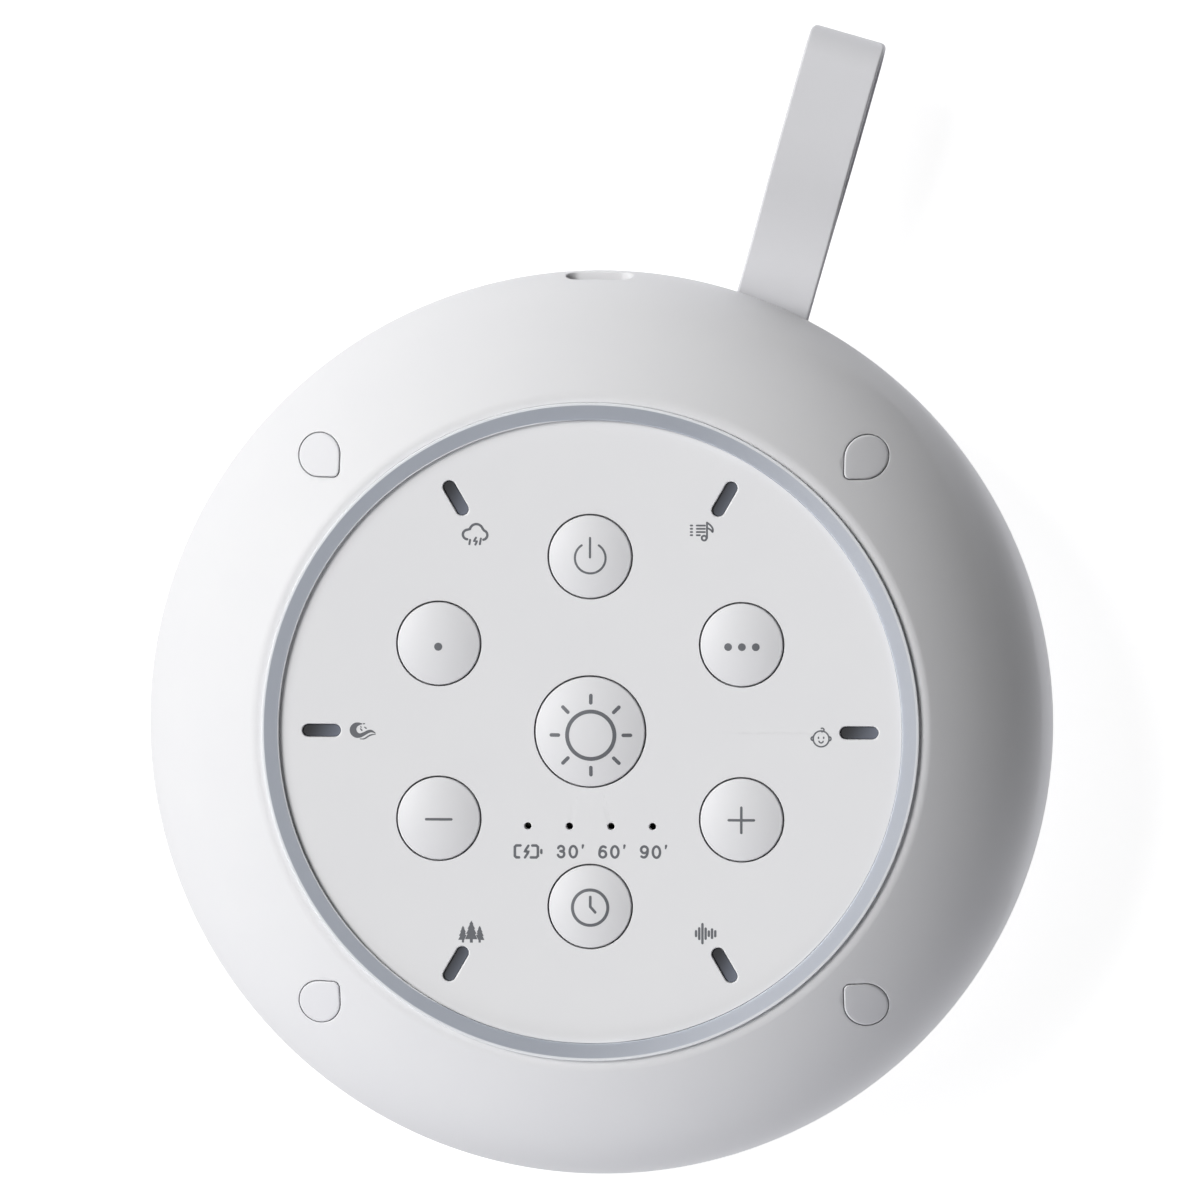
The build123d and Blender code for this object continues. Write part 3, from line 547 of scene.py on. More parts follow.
@dataclass(frozen=True)
class Finish:
    """A surface: its colour with a slight drift, its gloss and its fine relief.

    The drift and the relief are noise on the piece's own coordinates, with sizes in millimetres.
    """

    name: str
    colour: str
    roughness: float
    drift: str = ""
    drift_size: float = 8.0
    grain_size: float = 0.3
    grain_depth: float = 0.0
    grain_rough: float = 0.06
    metallic: float = 0.0
    ior: float = 1.5
    sheen: float = 0.0
    coat: float = 0.0
    scatter: float = 0.0

    def tinted(self, tree: Tree, place: Wire, colour: Wire) -> Wire:
        """The colour as it is; a finish with more than one colour changes it here."""
        return colour

    def build(self) -> bpy.types.Material:
        """Makes the material.

        Returns:
            The material.
        """
        material = bpy.data.materials.new(self.name)
        material.use_nodes = True
        tree = material.node_tree
        shader = tree.nodes["Principled BSDF"]
        place = add(tree, "ShaderNodeTexCoord").outputs["Object"]
        slow, fine = (
            add(tree, "ShaderNodeTexNoise",
                {"Vector": place, "Scale": 1 / (size * MM), "Detail": detail}).outputs[0]
            for size, detail in ((self.drift_size, 3.0), (self.grain_size, 2.0)))
        colours = {"A": linear(self.colour), "B": linear(self.drift or self.colour)}
        tint = add(tree, "ShaderNodeMix", {"Factor": slow, **colours}, data_type="RGBA")
        colour = self.tinted(tree, place, tint.outputs["Result"])
        tree.links.new(colour, shader.inputs["Base Color"])
        gloss = add(tree, "ShaderNodeMapRange",
                    {"Value": fine, "To Min": self.roughness - self.grain_rough,
                     "To Max": self.roughness + self.grain_rough}).outputs[0]
        tree.links.new(gloss, shader.inputs["Roughness"])
        if self.grain_depth:
            depth = self.grain_depth * MM
            relief = add(tree, "ShaderNodeBump", {"Height": fine, "Distance": depth}).outputs[0]
            tree.links.new(relief, shader.inputs["Normal"])
        if not self.metallic:
            shader.inputs["IOR"].default_value = self.ior
        shader.inputs["Metallic"].default_value = self.metallic
        shader.inputs["Sheen Weight"].default_value = self.sheen
        shader.inputs["Coat Weight"].default_value = self.coat
        if self.scatter:
            shader.inputs["Subsurface Weight"].default_value = 1.0
            shader.inputs["Subsurface Scale"].default_value = self.scatter * MM
            shader.inputs["Subsurface Radius"].default_value = (1.0, 1.0, 1.0)
        return material


def mixed(tree: Tree, share: Wire, low: Wire, high: str) -> Wire:
    """A colour that goes from one to another as the share goes from 0 to 1."""
    return add(tree, "ShaderNodeMix", {"Factor": share, "A": low, "B": linear(high)},
               data_type="RGBA").outputs["Result"]


def ramp(tree: Tree, value: Wire, start: float, end: float, low: float = 0.0) -> Wire:
    """A smooth rise from the low value to 1 between two lengths in millimetres.

    Args:
        tree: the shader tree.
        value: the value, in metres.
        start: where it starts to rise, in millimetres.
        end: where it reaches 1.
        low: the result before the start.

    Returns:
        The result.
    """
    span = {"From Min": start * MM, "From Max": end * MM, "To Min": low, "To Max": 1.0}
    return add(tree, "ShaderNodeMapRange", {"Value": value, **span},
               interpolation_type="SMOOTHSTEP").outputs[0]


@dataclass(frozen=True)
class RingFinish(Finish):
    """A finish of a ring about the Z axis that lets a little light through, with more of that light
    painted into its colour.

    Painted glow: it is lighter on its side away from the key lamp, along its outer rim, and at its
    inner rim where that light would leave it. Painted shade: the inner wall where the light comes
    in is darker.
    """

    # Painted light: the lit colour and the pale rims stand for light crossing the ring; the dark
    # colour is painted shade on the inner wall where light enters.
    lit: str = "#C6CAD2"
    pale: str = "#DDDFE2"
    dark: str = "#80858E"
    away: Point = (0.978, -0.208, 0.0)
    middle: float = 44.4
    flat_half: float = 0.88
    fade: float = 0.12
    turn_share: float = 0.4
    painted_glow_share: float = 0.75
    painted_shade_fade: float = 0.06

    def tinted(self, tree: Tree, place: Wire, colour: Wire) -> Wire:
        """Mixes the lit colour in on the far side, and the pale and dark ones at the rims, as
        painted glow and painted shade.

        Args:
            tree: the material's tree.
            place: place on the piece.
            colour: the drifting base colour.

        Returns:
            The changed colour.
        """
        level = vector(tree, "MULTIPLY", place, (1.0, 1.0, 0.0))
        along = vector(tree, "DOT_PRODUCT", level, self.away, output="Value")
        reach = vector(tree, "LENGTH", level, output="Value")
        off = calc(tree, "SUBTRACT", reach, self.middle * MM)
        turn = self.turn_share * self.middle
        side = ramp(tree, along, -turn, turn, -1.0)
        off = calc(tree, "MAXIMUM", off, calc(tree, "MULTIPLY", off, side))
        rim = self.flat_half + self.fade
        # Painted glow on the side away from the key lamp and at the rims, then painted shade on the
        # inner wall.
        body = mixed(tree, ramp(tree, along, 0.0, self.painted_glow_share * self.middle), colour, self.lit)
        body = mixed(tree, ramp(tree, off, self.flat_half, rim), body, self.pale)
        entry = calc(tree, "MULTIPLY", off, -1.0)
        return mixed(tree, ramp(tree, entry, rim, rim + self.painted_shade_fade), body, self.dark)


@dataclass(frozen=True)
class WindowFinish(Finish):
    """A finish of even windows on a circle, with painted light: each is lighter at its end away
    from the key lamp and darker at the end towards it.
    """

    # Painted light: the clear colour is the lit end of each window, away from the key lamp.
    clear: str = "#676C78"
    away: Point = (0.87, -0.5, 0.0)
    circle: float = 37.36
    count: int = 6
    half: float = 2.7
    painted_shade_share: float = 0.75

    def tinted(self, tree: Tree, place: Wire, colour: Wire) -> Wire:
        """Mixes the lighter clear colour in along each window as painted light, measured from that
        window's own middle.

        Args:
            tree: the material's tree.
            place: place on the piece.
            colour: the drifting base colour.

        Returns:
            The changed colour.
        """
        step = 2 * pi / self.count
        parts = add(tree, "ShaderNodeSeparateXYZ", {0: place}).outputs
        turn = calc(tree, "ADD", calc(tree, "ARCTAN2", parts["Y"], parts["X"]), step / 2)
        nearest = calc(tree, "SNAP", turn, step)
        own = {}
        for axis, way in (("X", "COSINE"), ("Y", "SINE")):
            middle = calc(tree, "MULTIPLY", calc(tree, way, nearest), self.circle * MM)
            own[axis] = calc(tree, "SUBTRACT", parts[axis], middle)
        place = add(tree, "ShaderNodeCombineXYZ", own).outputs[0]
        along = vector(tree, "DOT_PRODUCT", place, self.away, output="Value")
        share = ramp(tree, along, -self.painted_shade_share * self.half, self.half)
        return mixed(tree, share, colour, self.clear)


FINISHES = {
    # White ABS, moulded in a spark-eroded tool: matte, with a fine even grain.
    "case": Finish("Matte white ABS", "#E1E1E2", 0.55, "#DEDEE0", grain_size=0.35,
                   grain_depth=0.006),
    # White ABS with a smoother satin face, a shade lighter than the case.
    "panel": Finish("Satin white ABS", "#E7E7E8", 0.42, "#E4E4E6", grain_size=0.4,
                    grain_depth=0.002),
    # White ABS of the key caps, with soft highlights.
    "cap": Finish("Glossy white ABS", "#E3E3E5", 0.42, "#E0E0E2", grain_size=0.5,
                  grain_depth=0.001),
    # Frosted polycarbonate: light spreads a little way inside it, and it is cool grey when off. Its
    # glow away from the key lamp and at its rims, and the shade on its inner wall, are painted.
    "diffuser": RingFinish("Frosted polycarbonate", "#A6ABB4", 0.4, "#A1A6B0", grain_size=0.3,
                           grain_depth=0.002, ior=1.58, scatter=0.8),
    # Matte pale grey silicone with a faint sheen.
    "silicone": Finish("Pale silicone", "#DBDBDE", 0.6, "#D7D7DA", grain_size=0.25,
                       grain_depth=0.004, ior=1.41, sheen=0.2),
    # White silicone of the plugs, close to the case's colour and almost as matte.
    "plug": Finish("White silicone", "#DFDFE1", 0.58, "#DBDBDE", grain_size=0.25,
                   grain_depth=0.003, ior=1.41, sheen=0.15),
    # Smoked acrylic: a dark glossy window, with painted light that makes it lighter at the end away
    # from the key lamp.
    "smoke": WindowFinish("Smoked acrylic", "#16171B", 0.16, "#1B1C21", grain_size=0.6, ior=1.49),
    # Black ABS inside the case.
    "black": Finish("Black ABS", "#17181A", 0.5, "#1E1F21", grain_size=0.4, grain_depth=0.004),
    # Off-white acetal of a switch's plunger.
    "acetal": Finish("Natural acetal", "#D8D5CB", 0.38, "#D2CFC5"),
    # Green solder mask over glass-fibre board.
    "board": Finish("Green solder mask", "#1F5B3A", 0.35, "#184C30", drift_size=3.0),
    # Pale ceramic and silicone of a light-emitting diode.
    "led": Finish("Light source resin", "#E9E3C6", 0.35, "#EFEAD2", drift_size=1.0),
    # Cream nylon of a wire connector.
    "nylon": Finish("Natural nylon", "#E6DFCD", 0.45, "#DDD6C3"),
    # Black open weave in front of the speaker.
    "cloth": Finish("Acoustic cloth", "#202124", 0.9, "#2C2D31", drift_size=0.5, grain_size=0.35,
                    grain_depth=0.05, sheen=0.3),
    # Charcoal foam.
    "foam": Finish("Charcoal foam", "#2E2F31", 0.95, "#3A3B3E", drift_size=0.8, grain_size=0.5,
                   grain_depth=0.08),
    # Zinc-plated steel of screws and pin.
    "steel": Finish("Zinc-plated steel", "#BFC1C4", 0.3, "#B2B4B8", metallic=1.0),
    # Nickel-plated steel of the charging socket.
    "nickel": Finish("Nickel-plated steel", "#C9C7C2", 0.22, "#BDBBB6", metallic=1.0),
    # Dark sintered ferrite.
    "ferrite": Finish("Ferrite", "#3A3A3D", 0.6, "#47474A", grain_size=0.4, grain_depth=0.01),
    # Black pressed paper pulp.
    "pulp": Finish("Paper pulp", "#26272A", 0.85, "#303135", drift_size=1.2, grain_size=0.6,
                   grain_depth=0.03),
    # Black nitrile rubber roll.
    "rubber": Finish("Nitrile rubber", "#1C1C1E", 0.7, "#232326"),
    # Enamelled copper wire.
    "copper": Finish("Enamelled copper", "#B5683A", 0.3, "#A65B30", metallic=1.0),
    # Silver-blue film round the battery cell.
    "film": Finish("Battery film", "#8FA3B8", 0.28, "#869AB0", coat=0.3),
    # Grey pad-printed ink.
    "ink": Finish("Grey printing ink", "#5C5E63", 0.42, "#636569", drift_size=1.5),
}
MADE: dict[str, bpy.types.Material] = {}


def finish(name: str) -> bpy.types.Material:
    """The material of a finish, made when it is first asked for.

    Args:
        name: name of the finish.

    Returns:
        The material.
    """
    if name not in MADE:
        MADE[name] = FINISHES[name].build()
    return MADE[name]


def dress(piece: Piece, name: str) -> Piece:
    """Gives a piece one material all over.

    Args:
        piece: the piece that gets it.
        name: name of its finish.

    Returns:
        The piece.
    """
    piece.data.materials.clear()
    piece.data.materials.append(finish(name))
    return piece


def deliver(piece: Piece, look: str, body: str, slot: str, *nodes: str) -> Piece:
    """Finishes a piece: its shading, material, body and the nodes it stands for.

    Args:
        piece: the finished mesh.
        look: name of its finish.
        body: CAD body it moves with.
        slot: the record's material slot. It is not used.
        nodes: CAD nodes that it replaces.

    Returns:
        The piece.
    """
    dress(soften(piece), look)
    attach(piece, body)
    if nodes:
        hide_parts(*nodes)
    LOG.info("%s: %d faces, on %s", piece.name, len(piece.data.polygons), body)
    return piece


# ---------------------------------------------------------------- studio
@dataclass
class Lamp:
    """A far soft lamp: its place, strength, width and colour, and whether gloss mirrors it."""

    name: str
    azimuth: float
    elevation: float
    level: float
    width: float = 45.0
    tint: str = "#FFFFFF"
    mirrored: bool = True


def seen_white(tree: Tree, mirrored: Wire | float = 1.0) -> Wire:
    """1 for camera rays, the mirrored level for glossy and transmission rays, 0 for others.

    Args:
        tree: the shader tree.
        mirrored: the level in reflections.

    Returns:
        The level.
    """
    path = add(tree, "ShaderNodeLightPath").outputs
    glossy = calc(tree, "MAXIMUM", path["Is Glossy Ray"], path["Is Transmission Ray"])
    return calc(tree, "MAXIMUM", path["Is Camera Ray"], calc(tree, "MULTIPLY", glossy, mirrored))


@dataclass
class Studio:
    """The camera, the lamps, the white surroundings and the floor."""

    frame_width: float = 167.04
    distance: float = 4.5
    sensor: float = 36.0
    towards: Point = (0.0766, 0.0626, 1.0)
    middle: Point = (0.0, 0.0, 23.0)
    shift_right: float = -0.17
    shift_up: float = 17.01
    sky_level: float = 0.02
    # The right side of the room is dark to reflections, as it has no reflector.
    reflector_ends: Flat = (-0.8, -0.2)
    floor_glow: float = 0.88
    floor_half: float = 2500.0
    lamps: list[Lamp] = field(default_factory=lambda: [
        Lamp("key", 150.0, 50.0, 0.6, 26.0),
        # Its mirrored image would whiten the whole panel from the side across from it.
        Lamp("low_key", 150.0, 30.0, 0.35, 26.0, mirrored=False),
        Lamp("side", 180.0, 50.0, 0.21, 26.0),
        Lamp("front", 270.0, 8.0, 0.48, tint="#F4F5FC"),
        # The next two come from below, and stand for light that a lit table top sends back.
        Lamp("table_right", 0.0, -45.0, 0.28, tint="#F4F5FC"),
        Lamp("table_back", 90.0, -25.0, 0.37, tint="#F4F5FC"),
    ])

    def camera(self) -> None:
        """Stands the camera far off, so that the view has almost no perspective."""
        back = Vector(self.towards).normalized()
        up = (Vector((0, 1, 0)) - back.y * back).normalized()
        right = up.cross(back)
        target = (Vector(self.middle) + right * self.shift_right + up * self.shift_up) * MM
        data = bpy.data.cameras.new("camera")
        data.sensor_width = self.sensor
        data.lens = self.distance * self.sensor / (self.frame_width * MM)
        data.clip_start, data.clip_end = 0.1, 20.0
        made = bpy.data.objects.new("camera", data)
        turn = Matrix((right, up, back)).transposed().to_4x4()
        made.matrix_world = Matrix.Translation(target + back * self.distance) @ turn
        bpy.context.scene.collection.objects.link(made)
        bpy.context.scene.camera = made
        LOG.info("camera: %.0f mm lens", data.lens)

    def light(self) -> None:
        """Makes the lamps and the white surroundings."""
        for lamp in self.lamps:
            data = bpy.data.lights.new(lamp.name, "SUN")
            data.energy = lamp.level * pi
            data.angle = radians(lamp.width)
            data.color = linear(lamp.tint)[:3]
            made = bpy.data.objects.new(lamp.name, data)
            made.visible_glossy = lamp.mirrored
            turn, rise = radians(lamp.azimuth), radians(lamp.elevation)
            way = Vector((cos(rise) * cos(turn), cos(rise) * sin(turn), sin(rise)))
            made.rotation_euler = way.to_track_quat("Z", "Y").to_euler()
            bpy.context.scene.collection.objects.link(made)
        world = bpy.data.worlds.new("surroundings")
        bpy.context.scene.world = world
        world.use_nodes = True
        tree = world.node_tree
        way = add(tree, "ShaderNodeNewGeometry").outputs["Incoming"]
        across = add(tree, "ShaderNodeSeparateXYZ", {0: way}).outputs["X"]
        dark, lit = self.reflector_ends
        mirrored = add(tree, "ShaderNodeMapRange",
                       {"Value": across, "From Min": dark, "From Max": lit}).outputs[0]
        seen = seen_white(tree, mirrored)
        level = add(tree, "ShaderNodeMapRange",
                    {"Value": seen, "To Min": self.sky_level}).outputs[0]
        background = tree.nodes["Background"]
        background.inputs["Color"].default_value = (1.0, 1.0, 1.0, 1.0)
        tree.links.new(level, background.inputs["Strength"])

    def floor(self) -> None:
        """Lays a sheet of white paper that keeps the object's shadow."""
        half = self.floor_half
        form = Form()
        corners = [(-half, -half, 0), (half, -half, 0), (half, half, 0), (-half, half, 0)]
        form.faces.append(form.put(corners))
        sheet = form.piece("floor")
        paper = bpy.data.materials.new("White paper")
        paper.use_nodes = True
        tree = paper.node_tree
        shader = tree.nodes["Principled BSDF"]
        shader.inputs["Base Color"].default_value = linear("#B4B4B4")
        shader.inputs["Roughness"].default_value = 0.9
        shader.inputs["Specular IOR Level"].default_value = 0.1
        shader.inputs["Emission Color"].default_value = (1.0, 1.0, 1.0, 1.0)
        lift = calc(tree, "MULTIPLY", seen_white(tree), self.floor_glow)
        tree.links.new(lift, shader.inputs["Emission Strength"])
        sheet.data.materials.append(paper)
        sheet.visible_shadow = False

    def build(self) -> None:
        """Makes the whole studio."""
        self.camera()
        self.light()
        self.floor()


# ---------------------------------------------------------------- the case's form
@dataclass(frozen=True)
class CaseForm:
    """The pebble shape of the case: an elliptical dome over a round flank."""

    radius: float = 63.0
    widest_z: float = 23.0
    face_z: float = 43.0
    underside_z: float = 2.0
    lip_radius: float = 46.9
    lip_edge: float = 2.4

    @property
    def rise(self) -> float:
        """Height of the whole ellipse over the widest place."""
        return (self.face_z - self.widest_z) / sqrt(1 - (self.lip_radius / self.radius) ** 2)

    @property
    def drop(self) -> float:
        """Radius of the flank."""
        return self.widest_z - self.underside_z

    def dome_z(self, x: float, y: float) -> float:
        """Height of the dome over a point."""
        return self.widest_z + self.rise * sqrt(max(0.0, 1 - (x * x + y * y) / self.radius ** 2))

    def girth(self, z: float) -> float:
        """Radius of the case at a height.

        Args:
            z: the height.

        Returns:
            The radius.
        """
        if z > self.widest_z:
            return self.radius * sqrt(1 - ((z - self.widest_z) / self.rise) ** 2)
        return self.radius - self.drop + sqrt(self.drop ** 2 - (self.widest_z - z) ** 2)

    def flank(self, growth: float, low_z: float, high_z: float, steps: int = 40) -> list[Flat]:
        """Points up the flank between two heights, on the form grown outwards.

        Args:
            growth: how far the form is grown outwards.
            low_z: height of the first point.
            high_z: height of the last point.
            steps: number of steps.

        Returns:
            The points in order.
        """
        low = self.drop + growth
        start, end = (asin(max(-1.0, (z - self.widest_z) / low)) for z in (low_z, high_z))
        turns = [start + (end - start) * step / steps for step in range(steps + 1)]
        return [(self.radius - self.drop + low * cos(turn), self.widest_z + low * sin(turn))
                for turn in turns]

    def dome(self, growth: float, last_radius: float, steps: int = 48) -> list[Flat]:
        """Points up the dome from the widest place to a radius, on the form grown outwards.

        Args:
            growth: how far the form is grown outwards.
            last_radius: radius of the last point.
            steps: number of steps.

        Returns:
            The points in order.
        """
        wide, high = self.radius + growth, self.rise + growth
        turns = [acos(last_radius / wide) * step / steps for step in range(1, steps + 1)]
        return [(wide * cos(turn), self.widest_z + high * sin(turn)) for turn in turns]

    def lip(self, steps: int = 8) -> list[Flat]:
        """The round edge between the dome and the flat lip, whose first point lies on the dome.

        Args:
            steps: number of steps round the edge.

        Returns:
            The points in order.
        """
        low, high = 0.0, pi / 2
        for _ in range(60):
            turn = (low + high) / 2
            nx, nz = cos(turn) / self.radius, sin(turn) / self.rise
            size = hypot(nx, nz)
            x = self.radius * cos(turn) - self.lip_edge * nx / size
            z = self.widest_z + self.rise * sin(turn) - self.lip_edge * nz / size
            low, high = (turn, high) if z < self.face_z - self.lip_edge else (low, turn)
        start = asin(nz / size) * 180 / pi
        return arc((x, z), self.lip_edge, start, 90, steps)


CASE = CaseForm()


@dataclass(frozen=True)
class PlugForm:
    """The drop shape of a screw plug: a circle with a rounded pull tab on its inner side."""

    radius: float = 2.95
    tab_radius: float = 0.85
    tab_reach: float = 2.95
    circle: float = 53.8

    def outline(self, growth: float = 0.0) -> list[Flat]:
        """The outline about the plug's own middle, grown outwards.

        Args:
            growth: how far it is grown.

        Returns:
            The points in order.
        """
        turn = acos((self.radius - self.tab_radius) / self.tab_reach) * 180 / pi
        tab = arc((-self.tab_reach, 0), self.tab_radius + growth, 180 - turn, 180 + turn, 12)
        return arc((0, 0), self.radius + growth, turn - 180, 180 - turn, 40) + tab

    def placed(self, outline: Sequence[Flat]) -> list[Flat]:
        """Moves an outline from a plug's middle to its place on the X axis."""
        return [(x + self.circle, y) for x, y in outline]


PLUG = PlugForm()


@dataclass
class Shells:
    """The two halves of the case and the soft plugs over its screws."""

    wall: float = 2.4
    parting_z: float = 22.0
    seam_edge: float = 0.16
    tongue: float = 1.1
    tongue_height: float = 1.4
    joint_gap: float = 0.15
    opening: float = 45.75
    neck: float = 47.75
    ledge: float = 40.8
    ledge_z: float = 39.5
    ledge_low_z: float = 37.5
    lip_round: float = 0.06
    plug_seat_z: float = 34.5
    plug_gap: float = 0.12
    plug_proud: float = 0.15
    plug_edge: float = 0.3
    plug_stem_z: float = 31.4
    stem_gap: float = 0.1
    stem_join: float = 0.2
    seat_edge: float = 0.16
    seat_rise: float = 0.6
    seat_wall: float = 1.0
    boss_radius: float = 4.0
    well_radius: float = 2.7
    well_z: float = 26.5
    screw_hole: float = 1.5
    screw_hole_z: float = 15.0
    port_z: float = 26.3
    port_size: Flat = (9.34, 3.6)
    port_start: float = 57.6
    port_edge: float = 0.18
    core_inset: float = 0.4
    core_low_z: float = 3.0
    grille_hole: float = 0.95
    grille_edge: float = 0.2
    grille_count: int = 91
    grille_pitch: float = 3.9
    turns: int = 384

    def top_profile(self) -> list[Flat]:
        """Section of the upper shell.

        Returns:
            Radius and height of each point.
        """
        inner = CASE.radius - self.wall
        groove_z = self.parting_z + self.tongue_height + self.joint_gap
        outside = CASE.flank(0, self.parting_z + self.seam_edge, CASE.widest_z, 4)
        start = (CASE.girth(self.parting_z) - self.seam_edge, self.parting_z)
        lip = CASE.lip()
        dome = CASE.dome(0, lip[0][0])
        middle = (self.opening + self.lip_round, CASE.face_z - self.lip_round)
        edge = arc(middle, self.lip_round, 90, 180, 6)
        inside = [point for point in CASE.dome(-self.wall, self.neck)[::-1]
                  if point[1] > groove_z + 0.1]
        groove = inner + self.tongue + self.joint_gap
        return [start, *outside, *dome[:-1], *lip, *edge, (self.opening, self.ledge_z),
                (self.ledge, self.ledge_z), (self.ledge, self.ledge_low_z),
                (self.neck, self.ledge_low_z), *inside, (inner, groove_z),
                (groove, groove_z), (groove, self.parting_z)]

    def over_dome(self, outline: Sequence[Flat], lift: float) -> list[Point]:
        """A plug's outline at its place, at a lift over the dome."""
        return [(x, y, CASE.dome_z(x, y) + lift) for x, y in PLUG.placed(outline)]

    def plug_recess(self) -> Piece:
        """Cutter of one plug's recess, with a rounded mouth that follows the dome.

        Returns:
            The cutter.
        """
        def row(growth: float, lift: float) -> list[Point]:
            """The recess's outline, grown, at a lift over the dome."""
            return self.over_dome(PLUG.outline(self.plug_gap + growth), lift)

        seat = upright(PLUG.placed(PLUG.outline(self.plug_gap)), self.plug_seat_z)
        straight = row(0, -self.seat_edge - self.seat_rise)
        rows = [seat, straight, *rounded_mouth(row, self.seat_edge, 4)]
        return Form().loft(rows).piece("recess")

    def plugs(self, around: Pattern) -> None:
        """Soft plugs with rounded rims, their tops following the dome.

        Args:
            around: the round array.
        """
        stem = PLUG.placed(ring((0, 0), self.well_radius - self.stem_gap, 53))
        rows = [upright(stem, z) for z in (self.plug_stem_z, self.plug_seat_z + self.stem_join)]
        top = [upright(PLUG.placed(PLUG.outline()), self.plug_seat_z)]
        for into, down in rounded_levels(self.plug_edge, 5):
            top.append(self.over_dome(PLUG.outline(-into), self.plug_proud - down))
        for share in (0.75, 0.5, 0.25):
            shrunk = [(x * share, y * share) for x, y in PLUG.outline(-self.plug_edge)]
            top.append(self.over_dome(shrunk, self.plug_proud))
        top.append(self.over_dome([(0.0, 0.0)], self.plug_proud))
        piece = Form().loft(rows).piece("screw_plug_set")
        combine(piece, Form().loft(top).piece("plug_top"), Joining.ADD)
        around.repeat(piece, finish("plug"), **self.corners)
        deliver(piece, "plug", "case", "silicone", "screw_plugs")

    def port_cutter(self) -> Piece:
        """Cutter of the charging opening, with a rounded mouth that follows the dome.

        Returns:
            The cutter.
        """
        def row(growth: float, lift: float) -> list[Point]:
            """The opening's outline, grown, at a lift over the case's side."""
            outline = stadium(self.port_size[0] + 2 * growth, self.port_size[1] + 2 * growth)
            return [(x, sqrt(CASE.girth(self.port_z + z) ** 2 - x * x) + lift, self.port_z + z)
                    for x, z in outline]

        start = [(x, self.port_start, z) for x, _, z in row(0, 0)]
        return Form().loft([start, *rounded_mouth(row, self.port_edge)]).piece("port")

    @property
    def corners(self) -> dict[str, float]:
        """The round array's inputs for the four plugs and what lies under them."""
        return {"Count": 4, "Radius": 0.0, "First_angle": pi / 4}

    def top(self, around: Pattern) -> None:
        """The domed upper shell.

        Args:
            around: the round array.
        """
        shell = Form().turn(self.top_profile(), self.turns).piece("case_top")
        under = -self.wall / 3
        for outline, low in ((ring((0, 0), self.boss_radius, 52), self.parting_z),
                             (PLUG.outline(self.seat_wall), self.plug_seat_z - self.seat_wall)):
            rows = [upright(PLUG.placed(outline), low), self.over_dome(outline, under),
                    self.over_dome([(0.0, 0.0)], under)]
            boss = Form().loft(rows).piece("boss")
            around.repeat(boss, finish("case"), **self.corners)
            combine(shell, boss, Joining.ADD)
        low, hole, high = self.screw_hole_z, self.screw_hole, self.plug_seat_z + PAST
        profile = [(0, low), (hole, low), (hole, self.well_z), (self.well_radius, self.well_z),
                   (self.well_radius, high), (0, high)]
        bore = Form().turn(profile, 48, (PLUG.circle, 0)).piece("bore")
        for cutter in (bore, self.plug_recess()):
            around.repeat(cutter, finish("case"), **self.corners)
            combine(shell, cutter)
        combine(shell, self.port_cutter())
        deliver(shell, "case", "case", "case_white", "top_shell")

    def base_profile(self) -> list[Flat]:
        """Section of the lower shell, from the axis round the outside and back to the axis.

        Returns:
            Radius and height of each point.
        """
        inner = CASE.radius - self.wall
        floor_z = CASE.underside_z + self.wall
        outside = CASE.flank(0, CASE.underside_z, self.parting_z - self.seam_edge)
        seam = (CASE.girth(self.parting_z) - self.seam_edge, self.parting_z)
        step = inner + self.tongue
        inside = CASE.flank(-self.wall, floor_z, self.parting_z)[::-1]
        top_z = self.parting_z + self.tongue_height
        return [(0, CASE.underside_z), *outside, seam, (step, self.parting_z), (step, top_z),
                (inner, top_z), *inside, (0, floor_z)]

    def base(self, grille: Pattern, strap: Strap, foot: Foot) -> None:
        """The lower shell with the strap's pocket, the foot's groove and the grille.

        Args:
            grille: the array of grille rings.
            strap: gives the pocket.
            foot: gives the groove.
        """
        shell = Form().turn(self.base_profile(), self.turns).piece("case_base")
        high = self.parting_z - self.core_inset
        core = [(0, CASE.underside_z + PAST),
                *CASE.flank(-self.core_inset, self.core_low_z, high), (0, high)]
        solid = Form().turn(core, self.turns).piece("solid")
        box = strap.pocket_box()
        combine(box, solid, Joining.KEEP_SHARED)
        combine(shell, box, Joining.ADD)
        combine(shell, strap.pocket_cutter())
        low = CASE.underside_z
        for outline in foot.outlines(foot.gap):
            rows = [upright(outline, low - PAST), upright(outline, low + foot.sunk)]
            combine(shell, Form().loft(rows).piece("groove"))
        high, hole, edge = low + self.wall + PAST, self.grille_hole, self.grille_edge
        profile = [(0, low - PAST), (hole + edge + PAST, low - PAST), (hole + edge, low),
                   (hole, low + edge), (hole, high), (0, high)]
        holes = Form().turn(profile, 20).piece("holes")
        grille.repeat(holes, finish("case"), Count=self.grille_count, Pitch=self.grille_pitch * MM)
        combine(shell, holes)
        deliver(shell, "case", "case", "case_white", "base_shell")


# ---------------------------------------------------------------- foot and strap
@dataclass
class Foot:
    """Soft horseshoe foot and the pad in its opening."""

    radius: float = 36.0
    width: float = 6.0
    gap: float = 0.1
    sunk: float = 0.9
    edge: float = 0.6
    opening: float = 100.0
    pad: float = 16.0

    def outlines(self, growth: float) -> list[list[Flat]]:
        """Outlines of the horseshoe and of the pad, grown outwards.

        Args:
            growth: how far they are grown.

        Returns:
            The two outlines.
        """
        width = self.width + 2 * growth
        start = 90 + self.opening / 2
        return [bent_bar(self.radius, width, start, start + 360 - self.opening, 160),
                bent_bar(self.radius, width, 90 - self.pad / 2, 90 + self.pad / 2, 16)]

    def build(self) -> None:
        """Makes both pieces of the foot with a round lower edge."""
        form = Form()
        levels = rounded_levels(self.edge, 5)[::-1] + [(0, CASE.underside_z + self.sunk)]
        for number in (0, 1):
            form.loft([upright(self.outlines(-into)[number], up) for into, up in levels])
        deliver(form.piece("soft_foot"), "silicone", "case", "silicone", "foot")


